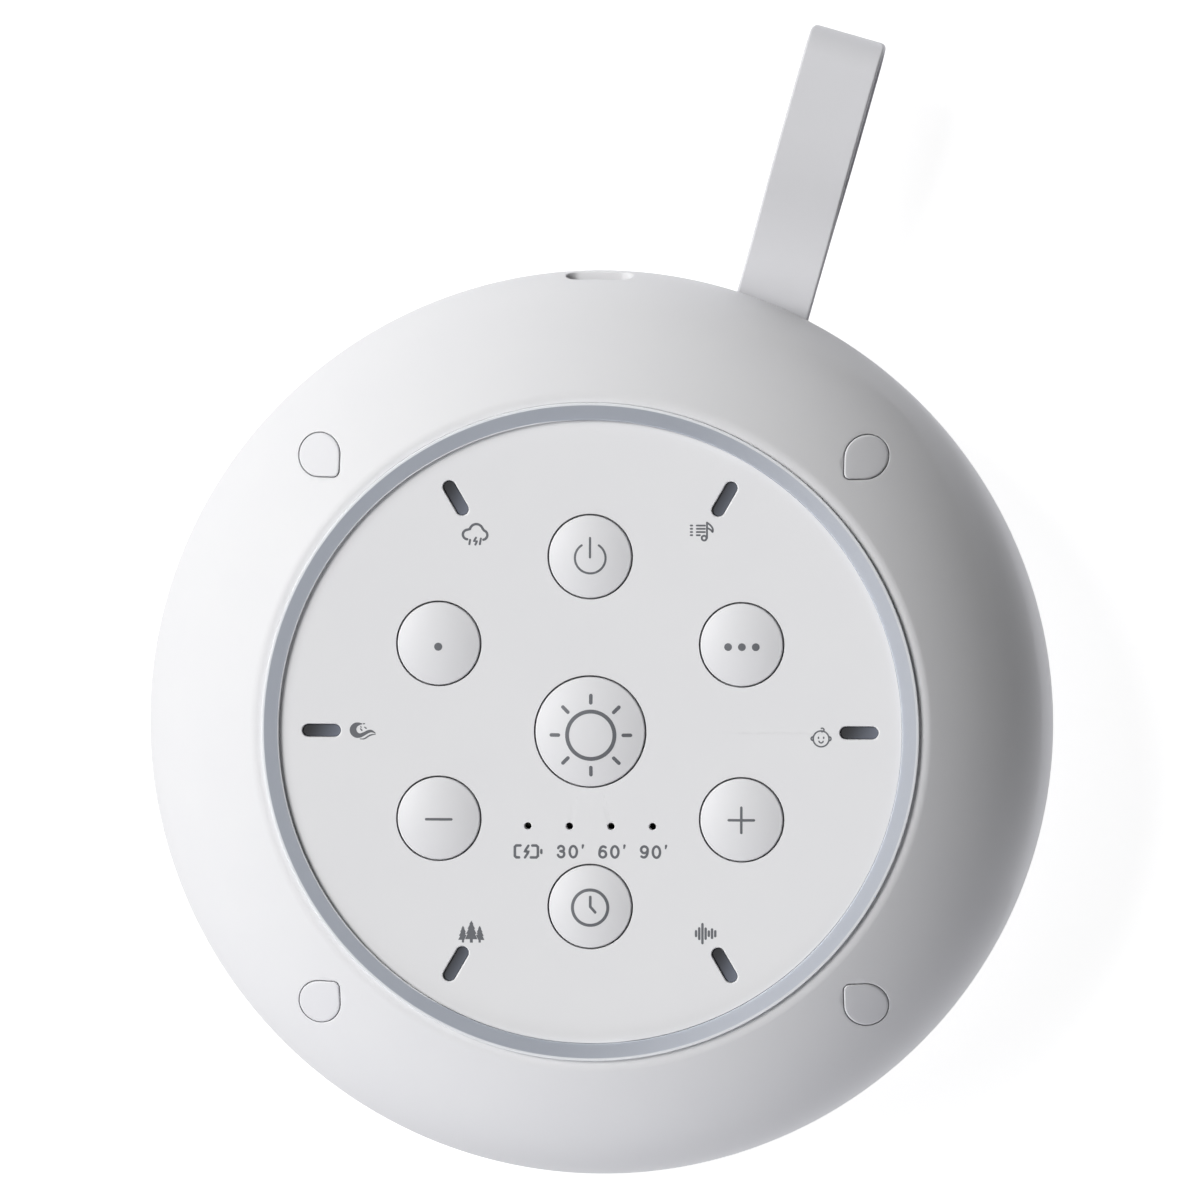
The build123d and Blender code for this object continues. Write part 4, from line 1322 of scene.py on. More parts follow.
@dataclass
class Strap:
    """Silicone hanging loop on a pin, and the pocket it swings in."""

    heading: float = 74.2
    offset: float = -6.8
    width: float = 10.6
    tip: float = 101.4
    layer: float = 1.2
    fold: float = 4.2
    pin_reach: float = 56.0
    pin_z: float = 16.0
    split: float = 67.5
    full: float = 88.0
    slit: float = 0.3
    eye: float = 2.78
    bore: float = 1.58
    corner: float = 0.9
    edge: float = 0.3
    pocket_width: float = 12.4
    pocket_low: float = 12.6
    pocket_high: float = 20.2
    pocket_back: float = 52.42
    pocket_corner: float = 1.2
    pocket_edge: float = 0.35
    pocket_wall: float = 1.6
    box_ends: Flat = (50.62, 64.0)

    def placed(self, reach: float, side: float, z: float) -> Point:
        """A point of the strap's own frame in the shared frame.

        Args:
            reach: how far it is along the strap from the case's axis.
            side: how far it is from the strap's middle.
            z: its height.

        Returns:
            The point.
        """
        turn = radians(self.heading)
        across = side + self.offset
        c, s = cos(turn), sin(turn)
        return (reach * c - across * s, reach * s + across * c, z)

    def loop(self, half: float, fold: float, start: float, start_half: float) -> list[Flat]:
        """Side view of the loop: two flowing curves that end in a round fold.

        Args:
            half: half the thickness between the curves' far ends.
            fold: radius of the fold.
            start: where the curves start.
            start_half: half the thickness there.

        Returns:
            The points in order.
        """
        lean = (self.full - start) / 2
        end = self.tip - self.fold
        curve = [(start, -start_half), (start + lean, -start_half), (self.full - lean, -half),
                 (self.full, -half)]
        low = [curve[0]] + bezier(curve, 24)
        nose = arc((end, 0), fold, -90, 90, 32)
        return low + nose + [(x, -z) for x, z in reversed(low)]

    def outside(self) -> list[Flat]:
        """Side view of the whole band with its round eye.

        Returns:
            The points in order.
        """
        turn = asin(self.layer / self.eye) * 180 / pi
        eye = arc((self.pin_reach, 0), self.eye, turn, 360 - turn, 32)
        return self.loop(self.fold, self.fold, self.split - self.layer, self.layer) + eye

    def row(self, outline: Sequence[Flat], side: float) -> list[Point]:
        """A row of points at one place across the band."""
        return [self.placed(x, side, self.pin_z + z) for x, z in outline]

    def cut_row(self, outline: Sequence[Flat], side: float) -> list[Point]:
        """A row of points at one place across the band, cut to the plan's round corners.

        Args:
            outline: side view of the band.
            side: the place across it.

        Returns:
            The points in order.
        """
        past = max(0.0, abs(side) - (self.width / 2 - self.corner))
        limit = self.tip - self.corner + sqrt(max(0.0, self.corner ** 2 - past ** 2))
        return self.row([(min(x, limit), z) for x, z in outline], side)

    def build(self) -> None:
        """Makes the loop with soft edges."""
        half = self.width / 2
        outside = self.outside()
        sides = [(-half + into, down) for into, down in rounded_levels(self.edge, 4)]
        corner_steps = [-half + self.corner * share for share in (0.45, 0.6, 0.8, 1.0)]
        stations = sides + [(side, 0.0) for side in corner_steps]
        stations += [(-side, into) for side, into in reversed(stations)]
        rows = [self.cut_row(inset(outside, into), side) for side, into in stations]
        band = Form().loft(rows).piece("hanging_loop")
        inner = self.loop(self.fold - self.layer, self.fold - self.layer, self.split, self.slit / 2)
        past = half + 2 * PAST
        stations = [(-past, self.edge)] + sides
        stations += [(-side, into) for side, into in reversed(stations)]
        hole = [self.row(inset(inner, -into), side) for side, into in stations]
        bore = ring((self.pin_reach, 0), self.bore, 48)
        for rows in (hole, [self.row(bore, side) for side in (-past, past)]):
            combine(band, Form().loft(rows).piece("hole"))
        deliver(band, "silicone", "hanging_strap", "silicone", "strap")

    def mouth(self, growth: float) -> list[Flat]:
        """Outline of the pocket's mouth across and up, grown outwards.

        Args:
            growth: how far it is grown.

        Returns:
            The points in order.
        """
        high = self.pocket_high - self.pocket_low
        middle = (self.pocket_high + self.pocket_low) / 2
        size = (self.pocket_width + 2 * growth, high + 2 * growth)
        return [(y, z + middle) for y, z in rounded_box(*size, self.pocket_corner + growth)]

    def pocket_box(self) -> Piece:
        """The walls round the pocket, as a block.

        Returns:
            The block.
        """
        rows = [[self.placed(reach, y, z) for y, z in self.mouth(self.pocket_wall)]
                for reach in self.box_ends]
        return Form().loft(rows).piece("pocket_box")

    def pocket_cutter(self) -> Piece:
        """Cutter of the pocket, with a rounded mouth that follows the flank.

        Returns:
            The cutter.
        """
        def row(growth: float, lift: float) -> list[Point]:
            """The mouth's outline, grown, at a lift over the case's side."""
            return [self.placed(sqrt(CASE.girth(z) ** 2 - (y + self.offset) ** 2) + lift, y, z)
                    for y, z in self.mouth(growth)]

        back = [self.placed(self.pocket_back, y, z) for y, z in self.mouth(0)]
        return Form().loft([back, *rounded_mouth(row, self.pocket_edge, out=2.0)]).piece("pocket")


# ---------------------------------------------------------------- panel, ring and windows
@dataclass
class Panel:
    """The control panel, the light ring round it and the smoked windows in it."""

    radius: float = 43.28
    face_z: float = 43.0
    thickness: float = 2.0
    skirt_z: float = 39.5
    skirt_wall: float = 1.5
    edge: float = 0.04
    hole_edge: float = 0.05
    key_gap: float = 0.23
    slot_circle: float = 37.36
    slot_size: Flat = (5.36, 1.8)
    slot_edge: float = 0.2
    pinhole: float = 0.5
    pinhole_edge: float = 0.08
    pinhole_pitch: float = 5.78
    pinhole_y: float = -13.14
    ring_inner: float = 43.3
    ring_outer: float = 45.73
    ring_proud: float = 0.7
    ring_edge: float = 0.12
    leg_half: float = 2.5
    leg_inset: float = 0.01
    lens_gap: float = 0.05
    lens_recess: float = 0.42
    lens_edge: float = 0.12
    lens_join: float = 0.3
    flange_reach: float = 0.6
    flange_thickness: float = 0.8
    tail_size: Point = (4.0, 1.4, 0.1)
    guide_z: float = 35.3
    turns: int = 360

    @property
    def low_z(self) -> float:
        """Height of the face plate's underside."""
        return self.face_z - self.thickness

    @property
    def rays(self) -> dict[str, float]:
        """The round array's inputs for the six slots and their windows."""
        return {"Count": 6, "Radius": self.slot_circle * MM, "First_angle": 0.0}

    def hole(self, radius: float, edge: float, centre: Flat = (0.0, 0.0),
             segments: int = 128) -> Form:
        """Cutter of a round hole with a rounded mouth.

        Args:
            radius: its radius.
            edge: radius of the rounded mouth.
            centre: where it stands.
            segments: number of steps round it.

        Returns:
            The cutter's form.
        """
        low, high = self.low_z - 4 * PAST, self.face_z
        mouth = [(radius + into, high - down) for into, down in rounded_levels(edge, 4)]
        rim = [(radius + 2 * edge, high + edge), (0.0, high + edge)]
        return Form().turn([(0.0, low), (radius, low), *mouth, *rim], segments, centre)

    def build(self, around: Pattern, row: Pattern, keys: Keys) -> None:
        """Makes the panel with all its holes.

        Args:
            around: the round array.
            row: the row array.
            keys: gives the sizes of the key holes.
        """
        rim = arc((self.radius - self.edge, self.face_z - self.edge), self.edge, 0, 90, 6)
        inner = self.radius - self.skirt_wall
        profile = [(0, self.low_z), (inner, self.low_z), (inner, self.skirt_z),
                   (self.radius, self.skirt_z), *rim, (0, self.face_z)]
        piece = Form().turn(profile, self.turns).piece("panel")
        small = self.hole(keys.small_radius + self.key_gap, self.hole_edge).piece("small_holes")
        around.repeat(small, finish("panel"), Count=6, Radius=keys.circle * MM, First_angle=pi / 6)
        combine(piece, small)
        large = self.hole(keys.large_radius + self.key_gap, self.hole_edge).piece("large_hole")
        combine(piece, large)

        def slot(growth: float, lift: float) -> list[Point]:
            """A slot's outline, grown, at a lift over the face."""
            length, width = (size + 2 * growth for size in self.slot_size)
            return upright(stadium(length, width), self.face_z + lift)

        start = slot(0, -self.thickness - 2 * PAST)
        rows = [start, *rounded_mouth(slot, self.slot_edge, 4, out=2.0, up=1.0)]
        slots = Form().loft(rows).piece("slots")
        around.repeat(slots, finish("panel"), **self.rays)
        combine(piece, slots)
        pins = self.hole(self.pinhole, self.pinhole_edge, (0.0, self.pinhole_y), 32)
        pins = pins.piece("pinholes")
        row.repeat(pins, finish("panel"), Count=4, Pitch=self.pinhole_pitch * MM)
        combine(piece, pins)
        deliver(piece, "panel", "case", "panel_white", "control_panel")

    def light_ring(self, around: Pattern) -> None:
        """Makes the translucent ring with its legs.

        Args:
            around: the round array.
        """
        top = self.face_z + self.ring_proud
        edge = self.ring_edge
        rim = arc((self.ring_outer - edge, top - edge), edge, 0, 90, 8)
        rim += arc((self.ring_inner + edge, top - edge), edge, 90, 180, 8)
        profile = [(self.ring_inner, self.skirt_z), (self.ring_outer, self.skirt_z), *rim]
        piece = Form().turn(profile, self.turns).piece("ring_diffuser")
        side = self.leg_half
        outer, inner = self.ring_outer - self.leg_inset, self.ring_inner + self.leg_inset
        outline = [(sqrt(radius ** 2 - y * y), y) for radius, turn in ((outer, 1), (inner, -1))
                   for y in (-side * turn, 0.0, side * turn)]
        rows = [upright(outline, self.guide_z), upright(outline, self.skirt_z + PAST)]
        legs = Form().loft(rows).piece("legs")
        around.repeat(legs, finish("diffuser"), Count=12, Radius=0.0, First_angle=pi / 12)
        combine(piece, legs, Joining.ADD)
        deliver(piece, "diffuser", "case", "light_diffuser", "light_ring")

    def windows(self, around: Pattern) -> None:
        """Makes the six smoked windows with their flanges and tails.

        Args:
            around: the round array.
        """
        length, width = (size - 2 * self.lens_gap for size in self.slot_size)
        low, top = self.low_z, self.face_z - self.lens_recess
        rows = [upright(stadium(length, width), low - self.lens_join)]
        for into, down in rounded_levels(self.lens_edge, 4):
            rows.append(upright(stadium(length - 2 * into, width - 2 * into), top - down))
        piece = Form().loft(rows).piece("indicator_windows")
        flange = stadium(*(size + 2 * self.flange_reach for size in self.slot_size))
        tail = rounded_box(*self.tail_size)
        for outline, start, end in ((flange, low - self.flange_thickness, low),
                                    (tail, self.guide_z, low - PAST)):
            tool = Form().loft([upright(outline, start), upright(outline, end)]).piece("part")
            combine(piece, tool, Joining.ADD)
        around.repeat(piece, finish("smoke"), **self.rays)
        deliver(piece, "smoke", "case", "smoked_lens", "indicator_lenses")


# ---------------------------------------------------------------- printed marks
class Ink:
    """Thin printed marks that follow the surface under them, joined into one closed print."""

    FILM = 0.02  # how far the ink stands over the surface
    SUNK = 0.03  # how far its underside lies under it
    CLEARED = 3.0  # how many times further a cleared outline reaches over and under
    PART = 0.3  # length of the parts into which a line is divided
    BLUNT = 0.5  # keeps a line from growing past twice its width at a sharp corner

    def __init__(self, surface: Surface, centre: Flat = (0.0, 0.0)) -> None:
        """Starts an empty print.

        Args:
            surface: height of the printed surface over a point of the frame.
            centre: origin of the marks' own coordinates.
        """
        self.surface, self.centre = surface, centre
        self.made: Piece | None = None

    def _rows(self, form: Form, points: Sequence[Flat], spread: float = 1.0) -> list[list[int]]:
        """Adds the points over and under the surface to a form.

        Args:
            form: the form that gets them.
            points: the points in order.
            spread: how many times further they reach.

        Returns:
            Both rows' numbers.
        """
        placed = [(x + self.centre[0], y + self.centre[1]) for x, y in points]
        return [form.put([(x, y, self.surface(x, y) + lift * spread) for x, y in placed])
                for lift in (self.FILM, -self.SUNK)]

    def _join(self, form: Form, how: Joining = Joining.ADD) -> Ink:
        """Adds a closed form to the print, or cuts it out.

        Args:
            form: the closed form.
            how: what the step does.

        Returns:
            This print.
        """
        made = form.piece("stroke")
        self.made = combine(self.made, made, how) if self.made else made
        return self

    def _fill(self, outline: Sequence[Flat], spread: float, how: Joining) -> Ink:
        """Adds or cuts out what lies inside an outline.

        Args:
            outline: the outline.
            spread: how many times further it reaches.
            how: what the step does.

        Returns:
            This print.
        """
        form = Form()
        high, low = self._rows(form, outline, spread)
        form.faces += [high, low[::-1]]
        form.bridge(low, high)
        return self._join(form, how)

    def fill(self, outline: Sequence[Flat]) -> Ink:
        """Prints a filled outline."""
        return self._fill(outline, 1.0, Joining.ADD)

    def clear(self, outline: Sequence[Flat]) -> Ink:
        """Leaves an outline free of what is printed so far."""
        return self._fill(outline, self.CLEARED, Joining.CUT)

    def line(self, path: Path, width: float = 0.0, closed: bool = False) -> Ink:
        """Prints a line with round ends along a path.

        Args:
            path: points of the line's middle. A third value is the width at a point.
            width: the width of points without their own.
            closed: joins its ends.

        Returns:
            This print.
        """
        points = [(x, y, own[0] if own else width) for x, y, *own in path]
        fine = []
        for start, end in zip(points, points[1:] + points[:1] if closed else points[1:]):
            parts = max(1, ceil(hypot(end[0] - start[0], end[1] - start[1]) / self.PART))
            fine += [tuple(a + (b - a) * k / parts for a, b in zip(start, end))
                     for k in range(parts)]
        if not closed:
            fine.append(points[-1])
        left, right = [], []
        for index, (x, y, here) in enumerate(fine):
            before = fine[index - 1] if index or closed else fine[0]
            after = fine[(index + 1) % len(fine)] if index + 1 < len(fine) or closed else fine[-1]
            ways = []
            for a, b in ((before, (x, y)), ((x, y), after)):
                size = hypot(b[0] - a[0], b[1] - a[1])
                if size > 1e-9:
                    ways.append(((b[0] - a[0]) / size, (b[1] - a[1]) / size))
            dx, dy = (sum(way[axis] for way in ways) / len(ways) for axis in (0, 1))
            stretch = 1 / max(self.BLUNT, dx * dx + dy * dy) * here / 2
            left.append((x - dy * stretch, y + dx * stretch))
            right.append((x + dy * stretch, y - dx * stretch))
        return self._loop(left, right) if closed else self._open(left, right)

    def _loop(self, left: Sequence[Flat], right: Sequence[Flat]) -> Ink:
        """Prints the band between two closed rows.

        Args:
            left: points of the left side.
            right: points of the right side.

        Returns:
            This print.
        """
        form = Form()
        tops, lows = zip(self._rows(form, left), self._rows(form, right))
        count = len(left)
        for k in range(count):
            n = (k + 1) % count
            form.faces += [[tops[0][k], tops[1][k], tops[1][n], tops[0][n]],
                           [lows[0][n], lows[1][n], lows[1][k], lows[0][k]],
                           [tops[0][k], tops[0][n], lows[0][n], lows[0][k]],
                           [tops[1][n], tops[1][k], lows[1][k], lows[1][n]]]
        return self._join(form)

    def _open(self, left: Sequence[Flat], right: Sequence[Flat]) -> Ink:
        """Prints the band between two open rows, with round ends.

        Args:
            left: points of the left side.
            right: points of the right side.

        Returns:
            This print.
        """
        form = Form()
        caps = []
        for (lx, ly), (rx, ry) in ((right[0], left[0]), (left[-1], right[-1])):
            mx, my, hx, hy = (lx + rx) / 2, (ly + ry) / 2, (lx - rx) / 2, (ly - ry) / 2
            caps.append([(mx + hx * cos(t) + hy * sin(t), my + hy * cos(t) - hx * sin(t))
                         for t in (pi * k / 8 for k in range(1, 8))])
        outline = [*right[::-1], *caps[0], *left, *caps[1]]
        high, low = self._rows(form, outline)
        count, cap = len(left), len(caps[0])
        lefts = range(count + cap, 2 * count + cap)
        rights = range(count - 1, -1, -1)
        for row, flip in ((high, False), (low, True)):
            faces = [[row[rights[k]], row[rights[k + 1]], row[lefts[k + 1]], row[lefts[k]]]
                     for k in range(count - 1)]
            faces.append([row[k] for k in range(count - 1, count + cap + 1)])
            last = range(2 * count + cap - 1, len(outline) + 1)
            faces.append([row[k % len(outline)] for k in last])
            form.faces += [face[::-1] if flip else face for face in faces]
        form.bridge(low, high)
        return self._join(form)

    def dot(self, centre: Flat, radius: float) -> Ink:
        """Prints a round dot."""
        return self.fill(ring(centre, radius, 32))

    def piece(self, name: str, body: str, slot: str) -> Piece:
        """Makes the print a piece of a body."""
        self.made.name = self.made.data.name = name
        return deliver(self.made, "ink", body, slot)


def smooth(points: Path, rounds: int = 3) -> list[tuple[float, ...]]:
    """Rounds the corners of an open path, and evens out whatever else its points carry.

    Args:
        points: the path.
        rounds: how often its corners are cut.

    Returns:
        The rounded path.
    """
    for _ in range(rounds):
        cut = [points[0]]
        for a, b in zip(points, points[1:]):
            cut += [tuple(p + (q - p) * share for p, q in zip(a, b)) for share in (0.25, 0.75)]
        points = [*cut, points[-1]]
    return list(points)


def rotated(points: Sequence[Flat], turn: float, shift: Flat = (0.0, 0.0)) -> list[Flat]:
    """Points turned about the origin by degrees and then moved."""
    c, s = cos(radians(turn)), sin(radians(turn))
    return [(x * c - y * s + shift[0], x * s + y * c + shift[1]) for x, y in points]


# ---------------------------------------------------------------- keys
class Key(Enum):
    """The push buttons: six in their order round the circle, and the one in the middle."""

    THREE_DOT = "three_dot"
    POWER = "power"
    ONE_DOT = "one_dot"
    VOLUME_DOWN = "volume_down"
    TIMER = "timer"
    VOLUME_UP = "volume_up"
    LIGHT = "light"


@dataclass
class Keys:
    """The seven push buttons with their printed symbols."""

    circle: float = 24.3
    small_radius: float = 5.72
    large_radius: float = 7.6
    gap: float = 0.3
    panel_thickness: float = 2.0
    small_crown: float = 0.75
    large_crown: float = 0.95
    edge_proud: float = 0.15
    edge: float = 0.22
    top_wall: float = 1.3
    side_wall: float = 1.1
    flange: float = 1.15
    flange_thickness: float = 1.0
    stem: float = 1.7
    stem_z: float = 38.1
    stroke: float = 0.36

    def place(self, key: Key) -> Flat:
        """Where a button stands.

        Args:
            key: the button.

        Returns:
            Its place in the plane of the frame.
        """
        if key is Key.LIGHT:
            return (0.0, 0.0)
        turn = radians(30 + 60 * list(Key).index(key))
        return (self.circle * cos(turn), self.circle * sin(turn))

    def crown(self, key: Key) -> Point:
        """Radius, height of the crown's middle and radius of the crown's ball.

        Args:
            key: the button.

        Returns:
            The three measures.
        """
        large = key is Key.LIGHT
        radius = self.large_radius if large else self.small_radius
        rise = (self.large_crown if large else self.small_crown) - self.edge_proud
        rim = radius - self.edge
        return radius, CASE.face_z + self.edge_proud + rise, (rim ** 2 + rise ** 2) / (2 * rise)

    def surface(self, key: Key) -> Surface:
        """Height of a button's crown over a point of the frame.

        Args:
            key: the button.

        Returns:
            A function that gives the height.
        """
        x0, y0 = self.place(key)
        _, top, ball = self.crown(key)
        return lambda x, y: top - ball + sqrt(ball ** 2 - (x - x0) ** 2 - (y - y0) ** 2)

    def cap(self, key: Key) -> None:
        """Makes one hollow cap with its flange and stem.

        Args:
            key: the button.
        """
        radius, top, ball = self.crown(key)
        edge_z = CASE.face_z + self.edge_proud
        rim = radius - self.edge
        turns = [asin(rim / ball) * k / 24 for k in range(1, 24)]
        crown = [(ball * sin(turn), top - ball + ball * cos(turn)) for turn in turns]
        side = arc((rim, edge_z - self.edge), self.edge, 90, 0, 6)
        flange_top = CASE.face_z - self.panel_thickness - self.gap
        flange_low = flange_top - self.flange_thickness
        wide, hollow = radius + self.flange, radius - self.side_wall
        hollow_z = edge_z - self.top_wall
        profile = [(0, top), *crown, *side, (radius, flange_top), (wide, flange_top),
                   (wide, flange_low), (hollow, flange_low), (hollow, hollow_z),
                   (self.stem, hollow_z), (self.stem, self.stem_z), (0, self.stem_z)]
        name = key.value
        piece = Form().turn(profile, 144, self.place(key)).piece(f"{name}_cap")
        deliver(piece, "cap", f"{name}_key", "button_white", f"{name}_button")

    def symbol(self, key: Key) -> None:
        """Prints one button's symbol.

        Args:
            key: the button.
        """
        ink = Ink(self.surface(key), self.place(key))
        if key is Key.POWER:
            ink.line(arc((0.05, -0.15), 2.13, 124, 416, 48), 0.3)
            ink.line([(0.02, 2.63), (0.02, -0.05)], 0.31)
        elif key is Key.ONE_DOT:
            ink.dot((-0.03, -0.4), 0.56)
        elif key is Key.THREE_DOT:
            for x in (-1.84, 0.08, 2.0):
                ink.dot((x, -0.26), 0.54)
        elif key is Key.VOLUME_DOWN:
            ink.line([(-1.72, -0.08), (1.78, -0.08)], self.stroke)
        elif key is Key.VOLUME_UP:
            ink.line([(-1.75, 0.0), (1.75, 0.0)], self.stroke)
            ink.line([(0.0, -1.75), (0.0, 1.75)], self.stroke)
        elif key is Key.TIMER:
            ink.line(ring((0.03, -0.1), 2.46, 64), 0.42, closed=True)
            ink.line([(0.06, 1.38), (0.06, 0.04), (0.74, -0.74)], 0.38)
        else:
            x, y = 0.13, -0.44
            ink.line(ring((x, y), 3.29, 72), 0.54, closed=True)
            for turn in range(0, 360, 45):
                ink.line(rotated([(4.5, 0.0), (5.5, 0.0)], turn, (x, y)), 0.5)
        ink.piece(f"{key.value}_symbol", f"{key.value}_key", "button_white")

    def build(self) -> None:
        """Makes every button."""
        for key in Key:
            self.cap(key)
            self.symbol(key)


@dataclass
class PanelMarks:
    """The marks printed on the panel: one beside each window, and a row under the timer lights."""

    face_z: float = 43.0
    thin: float = 0.28
    row_y: float = -16.68
    digit_pen: float = 0.34
    label_pitch: float = 5.78

    def ink(self, x: float, y: float) -> Ink:
        """An empty print on the flat face, centred on a point."""
        return Ink(lambda *_: self.face_z, (x, y))

    def rain(self) -> None:
        """A cloud over rain and a bolt."""
        ink = self.ink(-16.0, 27.36)
        cloud = arc((-1.04, -0.06), 0.66, 265, 100, 14) + arc((0.17, 0.47), 0.92, 165, 20, 16)
        cloud += arc((1.04, -0.12), 0.66, 72, -80, 14)
        ink.line(cloud, 0.34)
        for path in ([(-0.7, -0.8), (-0.8, -1.4)], [(0.8, -0.62), (0.66, -1.4)],
                     [(0.12, -0.5), (-0.2, -0.98), (0.3, -0.98), (0.03, -1.45)]):
            ink.line(path, self.thin)
        ink.piece("rain_mark", "case", "panel_white")

    def music(self) -> None:
        """A list of lines with a note."""
        ink = self.ink(15.48, 27.85)
        for y in (0.84, 0.39, -0.06, -0.5):
            ink.line([(-1.52, y), (-1.32, y)], 0.25)
            ink.line([(-0.68, y), (-0.25 if y < -0.4 else 0.45, y)], 0.25)
        ink.line(ring((0.34, -0.9), 0.33, 28), 0.27, closed=True)
        ink.line([(0.74, -0.9), (0.74, 1.26)], 0.26)
        flag = [(0.74, 1.26), (1.1, 1.0), (1.42, 0.66), (1.58, 0.28), (1.52, -0.12), (1.28, 0.26),
                (0.74, 0.52)]
        ink.line(smooth(flag, 2), 0.25)
        ink.piece("music_mark", "case", "panel_white")

    def wave(self) -> None:
        """A breaking wave with spray."""
        ink = self.ink(-31.66, -0.04)
        crest = [(-0.12, 0.98, 0.16), (-0.55, 0.98, 0.42), (-1.02, 0.8, 0.72), (-1.36, 0.32, 0.92),
                 (-1.28, -0.2, 0.95), (-0.9, -0.6, 0.82), (-0.35, -0.68, 0.58), (0.2, -0.42, 0.46),
                 (0.75, -0.1, 0.44), (1.25, 0.02, 0.36), (1.78, -0.32, 0.1)]
        trough = [(-0.35, -1.12, 0.1), (0.25, -1.14, 0.18), (0.8, -0.72, 0.2), (1.25, -0.52, 0.2),
                  (1.8, -0.48, 0.08)]
        ink.line(smooth(crest)).line(smooth(trough))
        ink.line([(-0.26, 0.26), (-0.1, 0.08)], 0.2).line([(0.3, 0.5), (0.5, 0.36)], 0.18)
        ink.line([(-0.25, 0.62), (-0.2, 0.48)], 0.14).line([(0.1, 0.98), (0.28, 1.0)], 0.16)
        ink.piece("wave_mark", "case", "panel_white")

    def infant(self) -> None:
        """A round smiling face with a curl."""
        ink = self.ink(32.07, -0.61)
        ink.line(ring((0.0, -0.22), 1.1, 48), 0.21, closed=True)
        for side in (-1, 1):
            ink.line(arc((side * 1.1, -0.2), 0.28, 90 - side * 20, 90 - side * 160, 10), 0.2)
            ink.line([(side * 0.36, 0.0), (side * 0.36, -0.14)], 0.2)
        ink.line(arc((0.0, -0.48), 0.3, 195, 345, 10), 0.19)
        ink.line([(0.1, 0.75)] + arc((0.16, 1.02), 0.24, -60, 120, 12), 0.2)
        ink.piece("infant_mark", "case", "panel_white")

    def firs(self) -> None:
        """Three fir trees, the middle one in front."""
        ink = self.ink(-16.54, -27.9)
        tree = [(0.0, 1.56), (0.3, 1.05), (0.2, 1.05), (0.52, 0.42), (0.38, 0.42), (0.74, -0.28),
                (0.52, -0.28), (0.86, -1.02), (0.2, -1.02), (0.2, -1.5)]

        def outline(x: float, y: float, size: float, grown: float = 0.0) -> list[Flat]:
            """A tree's outline about its own middle, grown sideways and upwards."""
            half = [(px * size + grown, py * size + (0.5 * grown if py > 0 else -grown))
                    for px, py in tree]
            return [(px + x, py + y) for px, py in ([(-px, py) for px, py in half] + half[::-1])]

        for side in (-1, 1):
            ink.fill(outline(side * 1.16, -0.34, 0.76))
        ink.clear(outline(0.0, 0.0, 1.0, 0.13)).fill(outline(0.0, 0.0, 1.0))
        ink.piece("fir_mark", "case", "panel_white")

    def sound(self) -> None:
        """Seven bars of a sound wave."""
        ink = self.ink(16.04, -27.97)
        for step, half in enumerate((0.5, 0.9, 1.48, 0.86, 0.47, 0.75, 0.5)):
            x = (step - 3) * 0.445
            ink.line([(x, 0.16 - half), (x, half - 0.16)], 0.33)
        ink.piece("sound_mark", "case", "panel_white")

    def digit(self, ink: Ink, value: int, x: float) -> None:
        """Prints one digit of the timer's row.

        Args:
            ink: the print.
            value: 0, 3, 6 or 9.
            x: the digit's middle.
        """
        if value == 0:
            oval = [(x + 0.5 * cos(t), 0.78 * sin(t)) for t in (2 * pi * k / 36 for k in range(36))]
            ink.line(oval, self.digit_pen, closed=True)
        elif value == 3:
            ink.line(arc((x - 0.02, 0.38), 0.4, 165, -78, 16), self.digit_pen)
            ink.line(arc((x - 0.02, -0.34), 0.44, 84, -165, 18), self.digit_pen)
            ink.line([(x - 0.12, 0.06), (x + 0.04, 0.06)], self.digit_pen)
        else:
            side = 1 if value == 6 else -1
            path = [(x + side * dx, side * dy) for dx, dy in arc((0.0, -0.32), 0.46, 180, 540, 28)]
            ink.line(path[:-1], self.digit_pen, closed=True)
            curve = [(-0.47, -0.32), (-0.47, 0.62), (-0.06, 0.96), (0.4, 0.62)]
            stem = [curve[0]] + bezier(curve, 14)
            ink.line([(x + side * dx, side * dy) for dx, dy in stem], self.digit_pen)

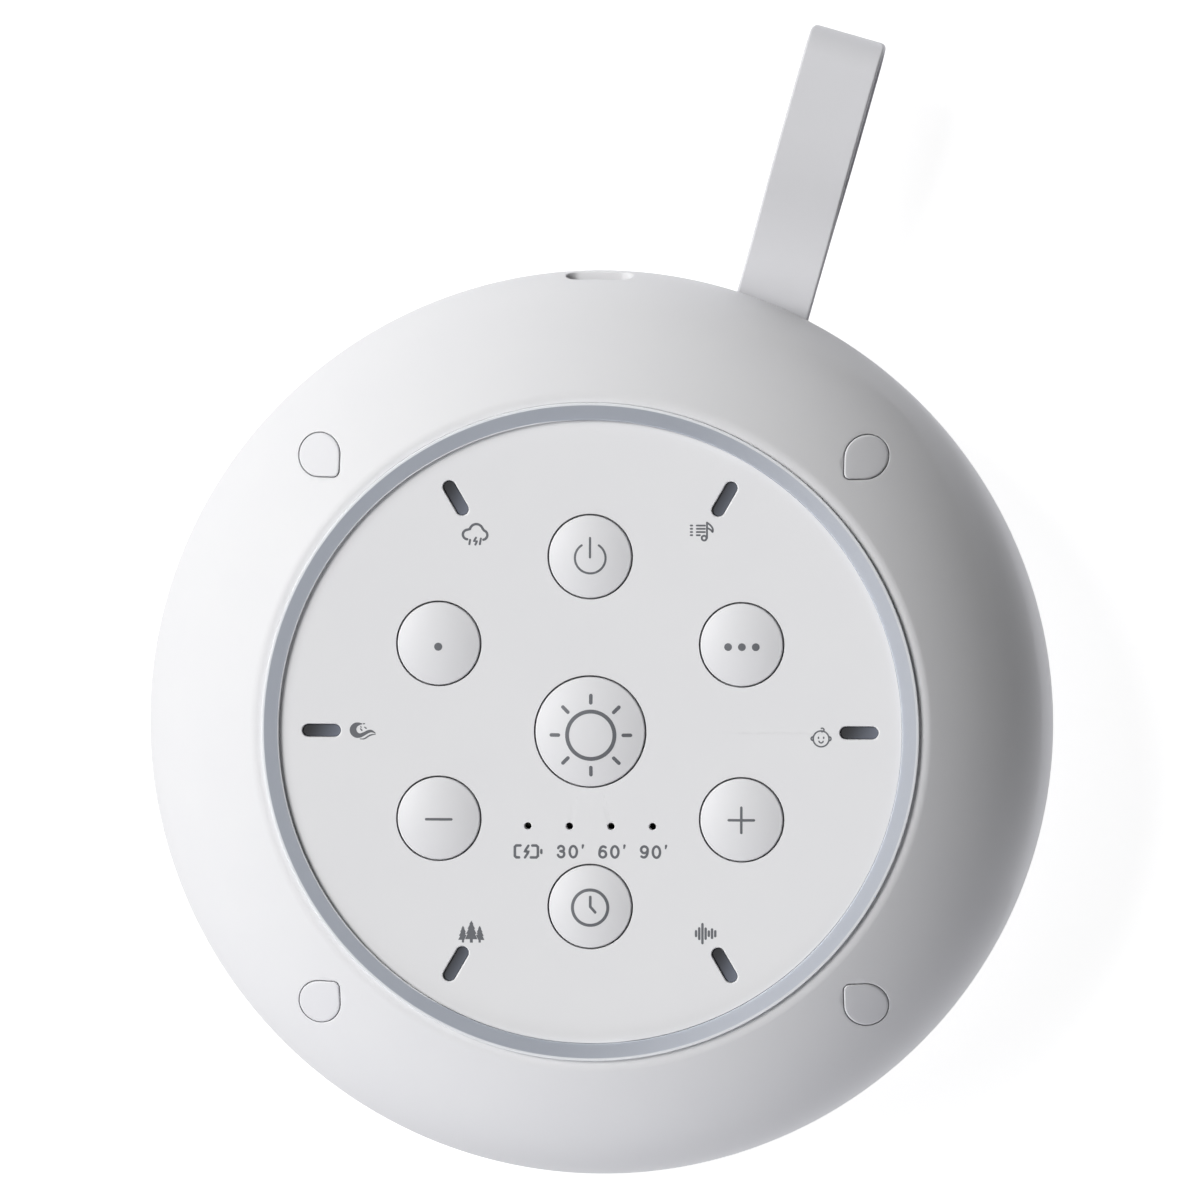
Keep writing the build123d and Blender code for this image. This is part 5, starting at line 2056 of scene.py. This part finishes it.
    def labels(self) -> None:
        """The row under the timer lights: a charging battery, and minutes."""
        ink = self.ink(0.0, self.row_y)
        for start, bend, side, end in ((-9.7, -10.28, -10.48, -9.9), (-8.05, -7.5, -7.28, -8.25)):
            ink.line([(start, 0.83), (bend, 0.83), (side, 0.63), (side, -0.63), (bend, -0.83),
                      (end, -0.83)], 0.36)
        ink.line([(-6.8, 0.2), (-6.8, -0.2)], 0.34)
        ink.line([(-8.6, 0.8), (-9.16, -0.04), (-8.52, 0.02), (-9.08, -0.84)], 0.33)
        for step, value in enumerate((3, 6, 9)):
            x = step * self.label_pitch
            self.digit(ink, value, x - 4.04)
            self.digit(ink, 0, x - 2.36)
            ink.line([(x - 1.02, 0.88, 0.34), (x - 1.08, 0.5, 0.2)])
        ink.piece("timer_labels", "case", "panel_white")

    def build(self) -> None:
        """Prints every mark."""
        for mark in (self.rain, self.music, self.wave, self.infant, self.firs, self.sound,
                     self.labels):
            mark()


# ---------------------------------------------------------------- what is carried over
CARRIED = {
    "black": ("timer_light_guide", "tact_switches", "controller_chip", "amplifier_chip",
              "battery_tray", "charging_port_tongue", "charging_chip"),
    "board": ("circuit_board", "charging_board"),
    "led": ("ring_lights", "indicator_lights", "timer_lights"),
    "nylon": ("battery_connector", "speaker_connector"),
    "cloth": ("grille_cloth",),
    "foam": ("speaker_gasket", "battery_pad"),
    "steel": ("speaker_frame", "strap_pin", "case_screws", "board_screws", "tray_screws",
              "speaker_screws", "charging_screws"),
    "ferrite": ("speaker_magnet",),
    "pulp": ("speaker_cone",),
    "rubber": ("speaker_surround",),
    "copper": ("voice_coil",),
    "film": ("battery",),
    "nickel": ("charging_port",),
}


def dress_carried(nodes: dict[str, Piece]) -> None:
    """Gives every CAD node that stays its own material.

    Args:
        nodes: the nodes by name.
    """
    looks = {name: look for look, names in CARRIED.items() for name in names}
    for name, node in nodes.items():
        if node.hide_render:
            continue
        look = looks.get(name) or ("acetal" if name.endswith("plunger") else "case")
        dress(node, look)
        LOG.info("%s: %s", name, FINISHES[look].name)


def main() -> None:
    """Builds the studio and every piece in order."""
    logging.basicConfig(level=logging.INFO, format="%(message)s")
    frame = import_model()
    bpy.context.scene.view_settings.view_transform = "Standard"
    Studio().build()
    around, row, grille = round_array(), row_array(), grille_array()
    shells, strap, foot, keys, panel = Shells(), Strap(), Foot(), Keys(), Panel()
    shells.top(around)
    shells.plugs(around)
    shells.base(grille, strap, foot)
    strap.build()
    foot.build()
    panel.build(around, row, keys)
    panel.light_ring(around)
    panel.windows(around)
    keys.build()
    PanelMarks().build()
    dress_carried(frame["nodes"])


if __name__ == "__main__":
    main()
